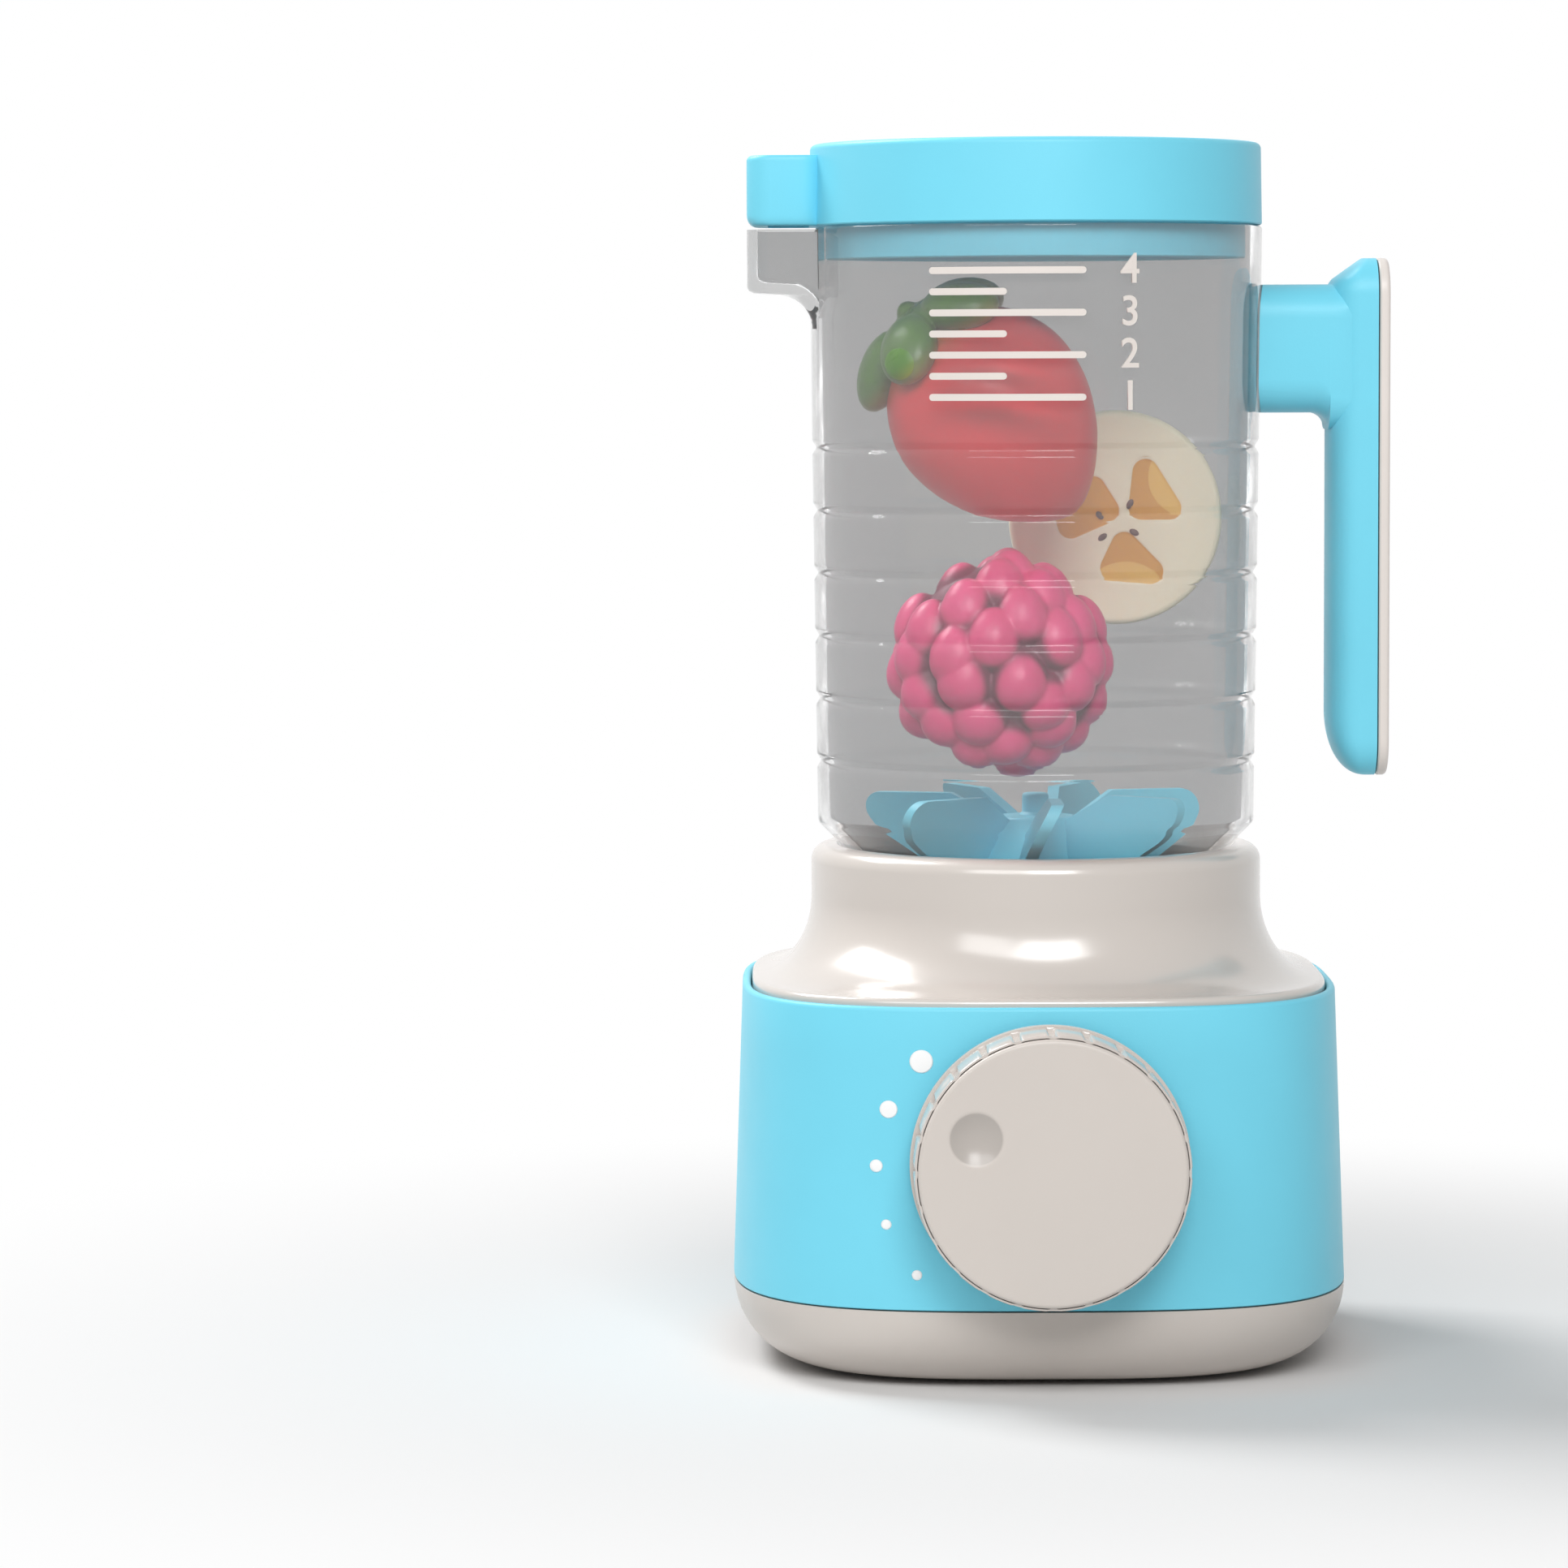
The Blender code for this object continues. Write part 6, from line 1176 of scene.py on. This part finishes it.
# Corners of the seed chambers before they are rounded, in millimetres from the middle
CHAMBERS = (
    ((6.2, 9.6), (11.0, 2.0), (5.4, 2.2)),
    ((-5.0, 6.0), (-2.2, 1.6), (-9.6, -1.6), (-10.5, 1.5)),
    ((1.7, -5.8), (7.2, -11.4), (-0.6, -10.6)),
)
CHAMBER_ROUND = 2.8
# Middle and radius of the part of each chamber in painted light; the rest of each chamber is in painted
# shadow
CHAMBER_PAINTED_LIGHT = (((15.0, 8.5), 8.2), ((-14.0, 7.0), 7.5), ((2.0, -19.0), 9.7))
# Place and turn in degrees of each seed
SEEDS = ((2.9, 2.9, 60), (3.8, -3.1, -28), (-2.9, -4.1, 35), (-3.5, 0.5, 125))


def chamber_turn(corners):
    """1 for corners listed anticlockwise and -1 for clockwise."""
    first, second, third = (Vector(corner) for corner in corners[:3])
    return copysign(1.0, (second - first).cross(third - second))


def chamber_depth(x, z):
    """Distance inside the nearest seed chamber's edge, in millimetres; negative outside."""
    best = -99.0
    here = Vector((x, z))
    for corners in CHAMBERS:
        nearest = 99.0
        inside = True
        for index, corner in enumerate(corners):
            start, end = Vector(corners[index - 1]), Vector(corner)
            side = end - start
            share = clamp((here - start).dot(side) / side.length_squared)
            nearest = min(nearest, (start + side * share - here).length)
            inside = inside and side.cross(here - start) * chamber_turn(corners) > 0
        best = max(best, CHAMBER_ROUND + (nearest if inside else -nearest))
    return best


def bright_depth(x, z):
    return max(radius - hypot(x - middle[0], z - middle[1]) for middle, radius in CHAMBER_PAINTED_LIGHT)


def make_banana():
    flat = BANANA_RADIUS - BANANA_ROUND
    rows = arc((flat, BANANA_HALF - BANANA_ROUND), BANANA_ROUND, 0, 90, 6)
    rows = [(TIP, -BANANA_HALF)] + [(radius, -out) for radius, out in reversed(rows)] + rows
    rows += [(flat * (1 - step / 60), BANANA_HALF) for step in range(1, 60)]

    def point(radius, out, angle):
        x, z = radius * cos(angle), radius * sin(angle)
        dip = 0.0
        if out == BANANA_HALF:
            dip = CHAMBER_DIP * clamp(chamber_depth(x * 1000, z * 1000) / 0.5 + 0.5)
        return Vector((x, -(out - dip), z))

    banana = skin("banana_round", rings_by(rows, 240, point), sharp=60.0)

    def chamber(place):
        return chamber_depth(place.x * 1000, place.z * 1000) if place.y < 0 else -9.0

    paint(banana, "chamber", chamber)
    # Marks where each chamber shows painted light rather than painted shadow.
    paint(banana, "lit", lambda place: bright_depth(place.x * 1000, place.z * 1000))
    banana.data.transform(Matrix.Translation(BANANA_PLACE))
    dress(banana, "jug", "banana", "banana_slice")
    builder = bmesh.new()
    for x, z, turn in SEEDS:
        centre = BANANA_PLACE + Vector((x / 1000, -BANANA_HALF - 0.0001, z / 1000))
        blob(builder, centre, (0.0011, 0.0004, 0.00065), Matrix.Rotation(radians(-turn), 4, "Y"))
    seeds = finish("banana_seeds", builder, 180.0)
    brown = moulded("seed_brown", linear(108, 66, 62), 0.4, mottle=0.15)
    dress(seeds, "jug", "banana", material=brown)


# Frame nodes that keep their own form

def finish_nodes():
    for row in frame["record"]["subparts"]:
        for holder in frame["nodes"][row["node"]].material_slots:
            holder.material = FINISHES[row["material_slot"]]


# Studio

def make_camera():
    camera = bpy.data.cameras.new("camera")
    camera.sensor_width = 36.0
    camera.lens = 131.87
    camera.clip_end = 20.0
    holder = place_data("camera", camera)
    holder.matrix_world = (
        Matrix.Translation((-0.054942, -1.203138, 0.207647))
        @ Matrix.Rotation(radians(-0.102), 4, "Z")
        @ Matrix.Rotation(radians(90 - 4.271), 4, "X")
        @ Matrix.Rotation(radians(-0.214), 4, "Z")
    )
    bpy.context.scene.camera = holder


# Name, place, aim, side and power of each lamp
LAMPS = (
    ("key_left", (-0.50, -1.05, 0.90), (0, 0, 0.14), 0.60, 4.2),
    ("key_right", (0.12, -1.25, 0.95), (0, 0, 0.14), 0.60, 10.2),
    ("back", (-0.60, 0.45, 1.00), (0, 0, 0.05), 0.50, 10.0),
)
WORLD_STRENGTH = 0.30
FLOOR_RADIUS = 4.0
FLOOR_Z = -0.0007
# Distances between which the floor turns into the background
FLOOR_FADE = (0.13, 0.34)
WHITE = (1.0, 1.0, 1.0, 1.0)


def make_lamps():
    for name, place, target, side, power in LAMPS:
        lamp = bpy.data.lights.new(name, "AREA")
        lamp.shape = "RECTANGLE"
        lamp.size = side
        lamp.size_y = side
        lamp.energy = power
        holder = place_data(name, lamp)
        holder.location = place
        holder.rotation_euler = (Vector(target) - Vector(place)).to_track_quat("-Z", "Y").to_euler()


def seen_white(tree):
    """1 for rays that show the background itself: camera, glossy and transmission rays."""
    rays = tree.nodes.new("ShaderNodeLightPath")
    total = rays.outputs["Is Camera Ray"]
    for name in ("Is Glossy Ray", "Is Transmission Ray"):
        both = tree.nodes.new("ShaderNodeMath")
        both.operation = "MAXIMUM"
        tree.links.new(total, both.inputs[0])
        tree.links.new(rays.outputs[name], both.inputs[1])
        total = both.outputs[0]
    return total


def make_world():
    world = bpy.data.worlds.new("studio")
    world.use_nodes = True
    bpy.context.scene.world = world
    tree = world.node_tree
    lit = tree.nodes["Background"]
    white = tree.nodes.new("ShaderNodeBackground")
    for node, strength in ((lit, WORLD_STRENGTH), (white, 1.0)):
        node.inputs["Color"].default_value = WHITE
        node.inputs["Strength"].default_value = strength
    mix_shaders(tree, seen_white(tree), lit, white, tree.nodes["World Output"])


def make_floor():
    """Pale floor that turns into the white background away from the toy."""
    builder = bmesh.new()
    bmesh.ops.create_circle(builder, cap_ends=True, segments=64, radius=FLOOR_RADIUS)
    bmesh.ops.translate(builder, verts=builder.verts, vec=(0, 0, FLOOR_Z))
    floor = finish("floor", builder)
    paper = Finish("paper", Base_Color=(0.74, 0.74, 0.74, 1.0), Roughness=0.9, Specular_IOR_Level=0.1)
    paper.grain(0.0012, 0.05, 0.0001, 2.0)
    away = paper.add("ShaderNodeVectorMath", {0: paper.place}, operation="LENGTH").outputs["Value"]
    fade = paper.span(away, *FLOOR_FADE, smooth=True)
    share = paper.math("MULTIPLY", fade, seen_white(paper.tree))
    glow = paper.add("ShaderNodeEmission", {"Color": WHITE, "Strength": 1.0})
    mix_shaders(paper.tree, share, paper.shader, glow, paper.output)
    floor.data.materials.append(paper.material)


for make in (
    make_camera, make_pan, make_sleeve, make_collar, make_lights, make_dial, make_jug, make_marks, make_lid,
    make_handle, make_strip, make_rotor, make_strawberry, make_leaves, make_raspberry, make_banana,
    finish_nodes, make_world, make_floor, make_lamps,
):
    make()

bpy.context.scene.view_settings.view_transform = "Standard"
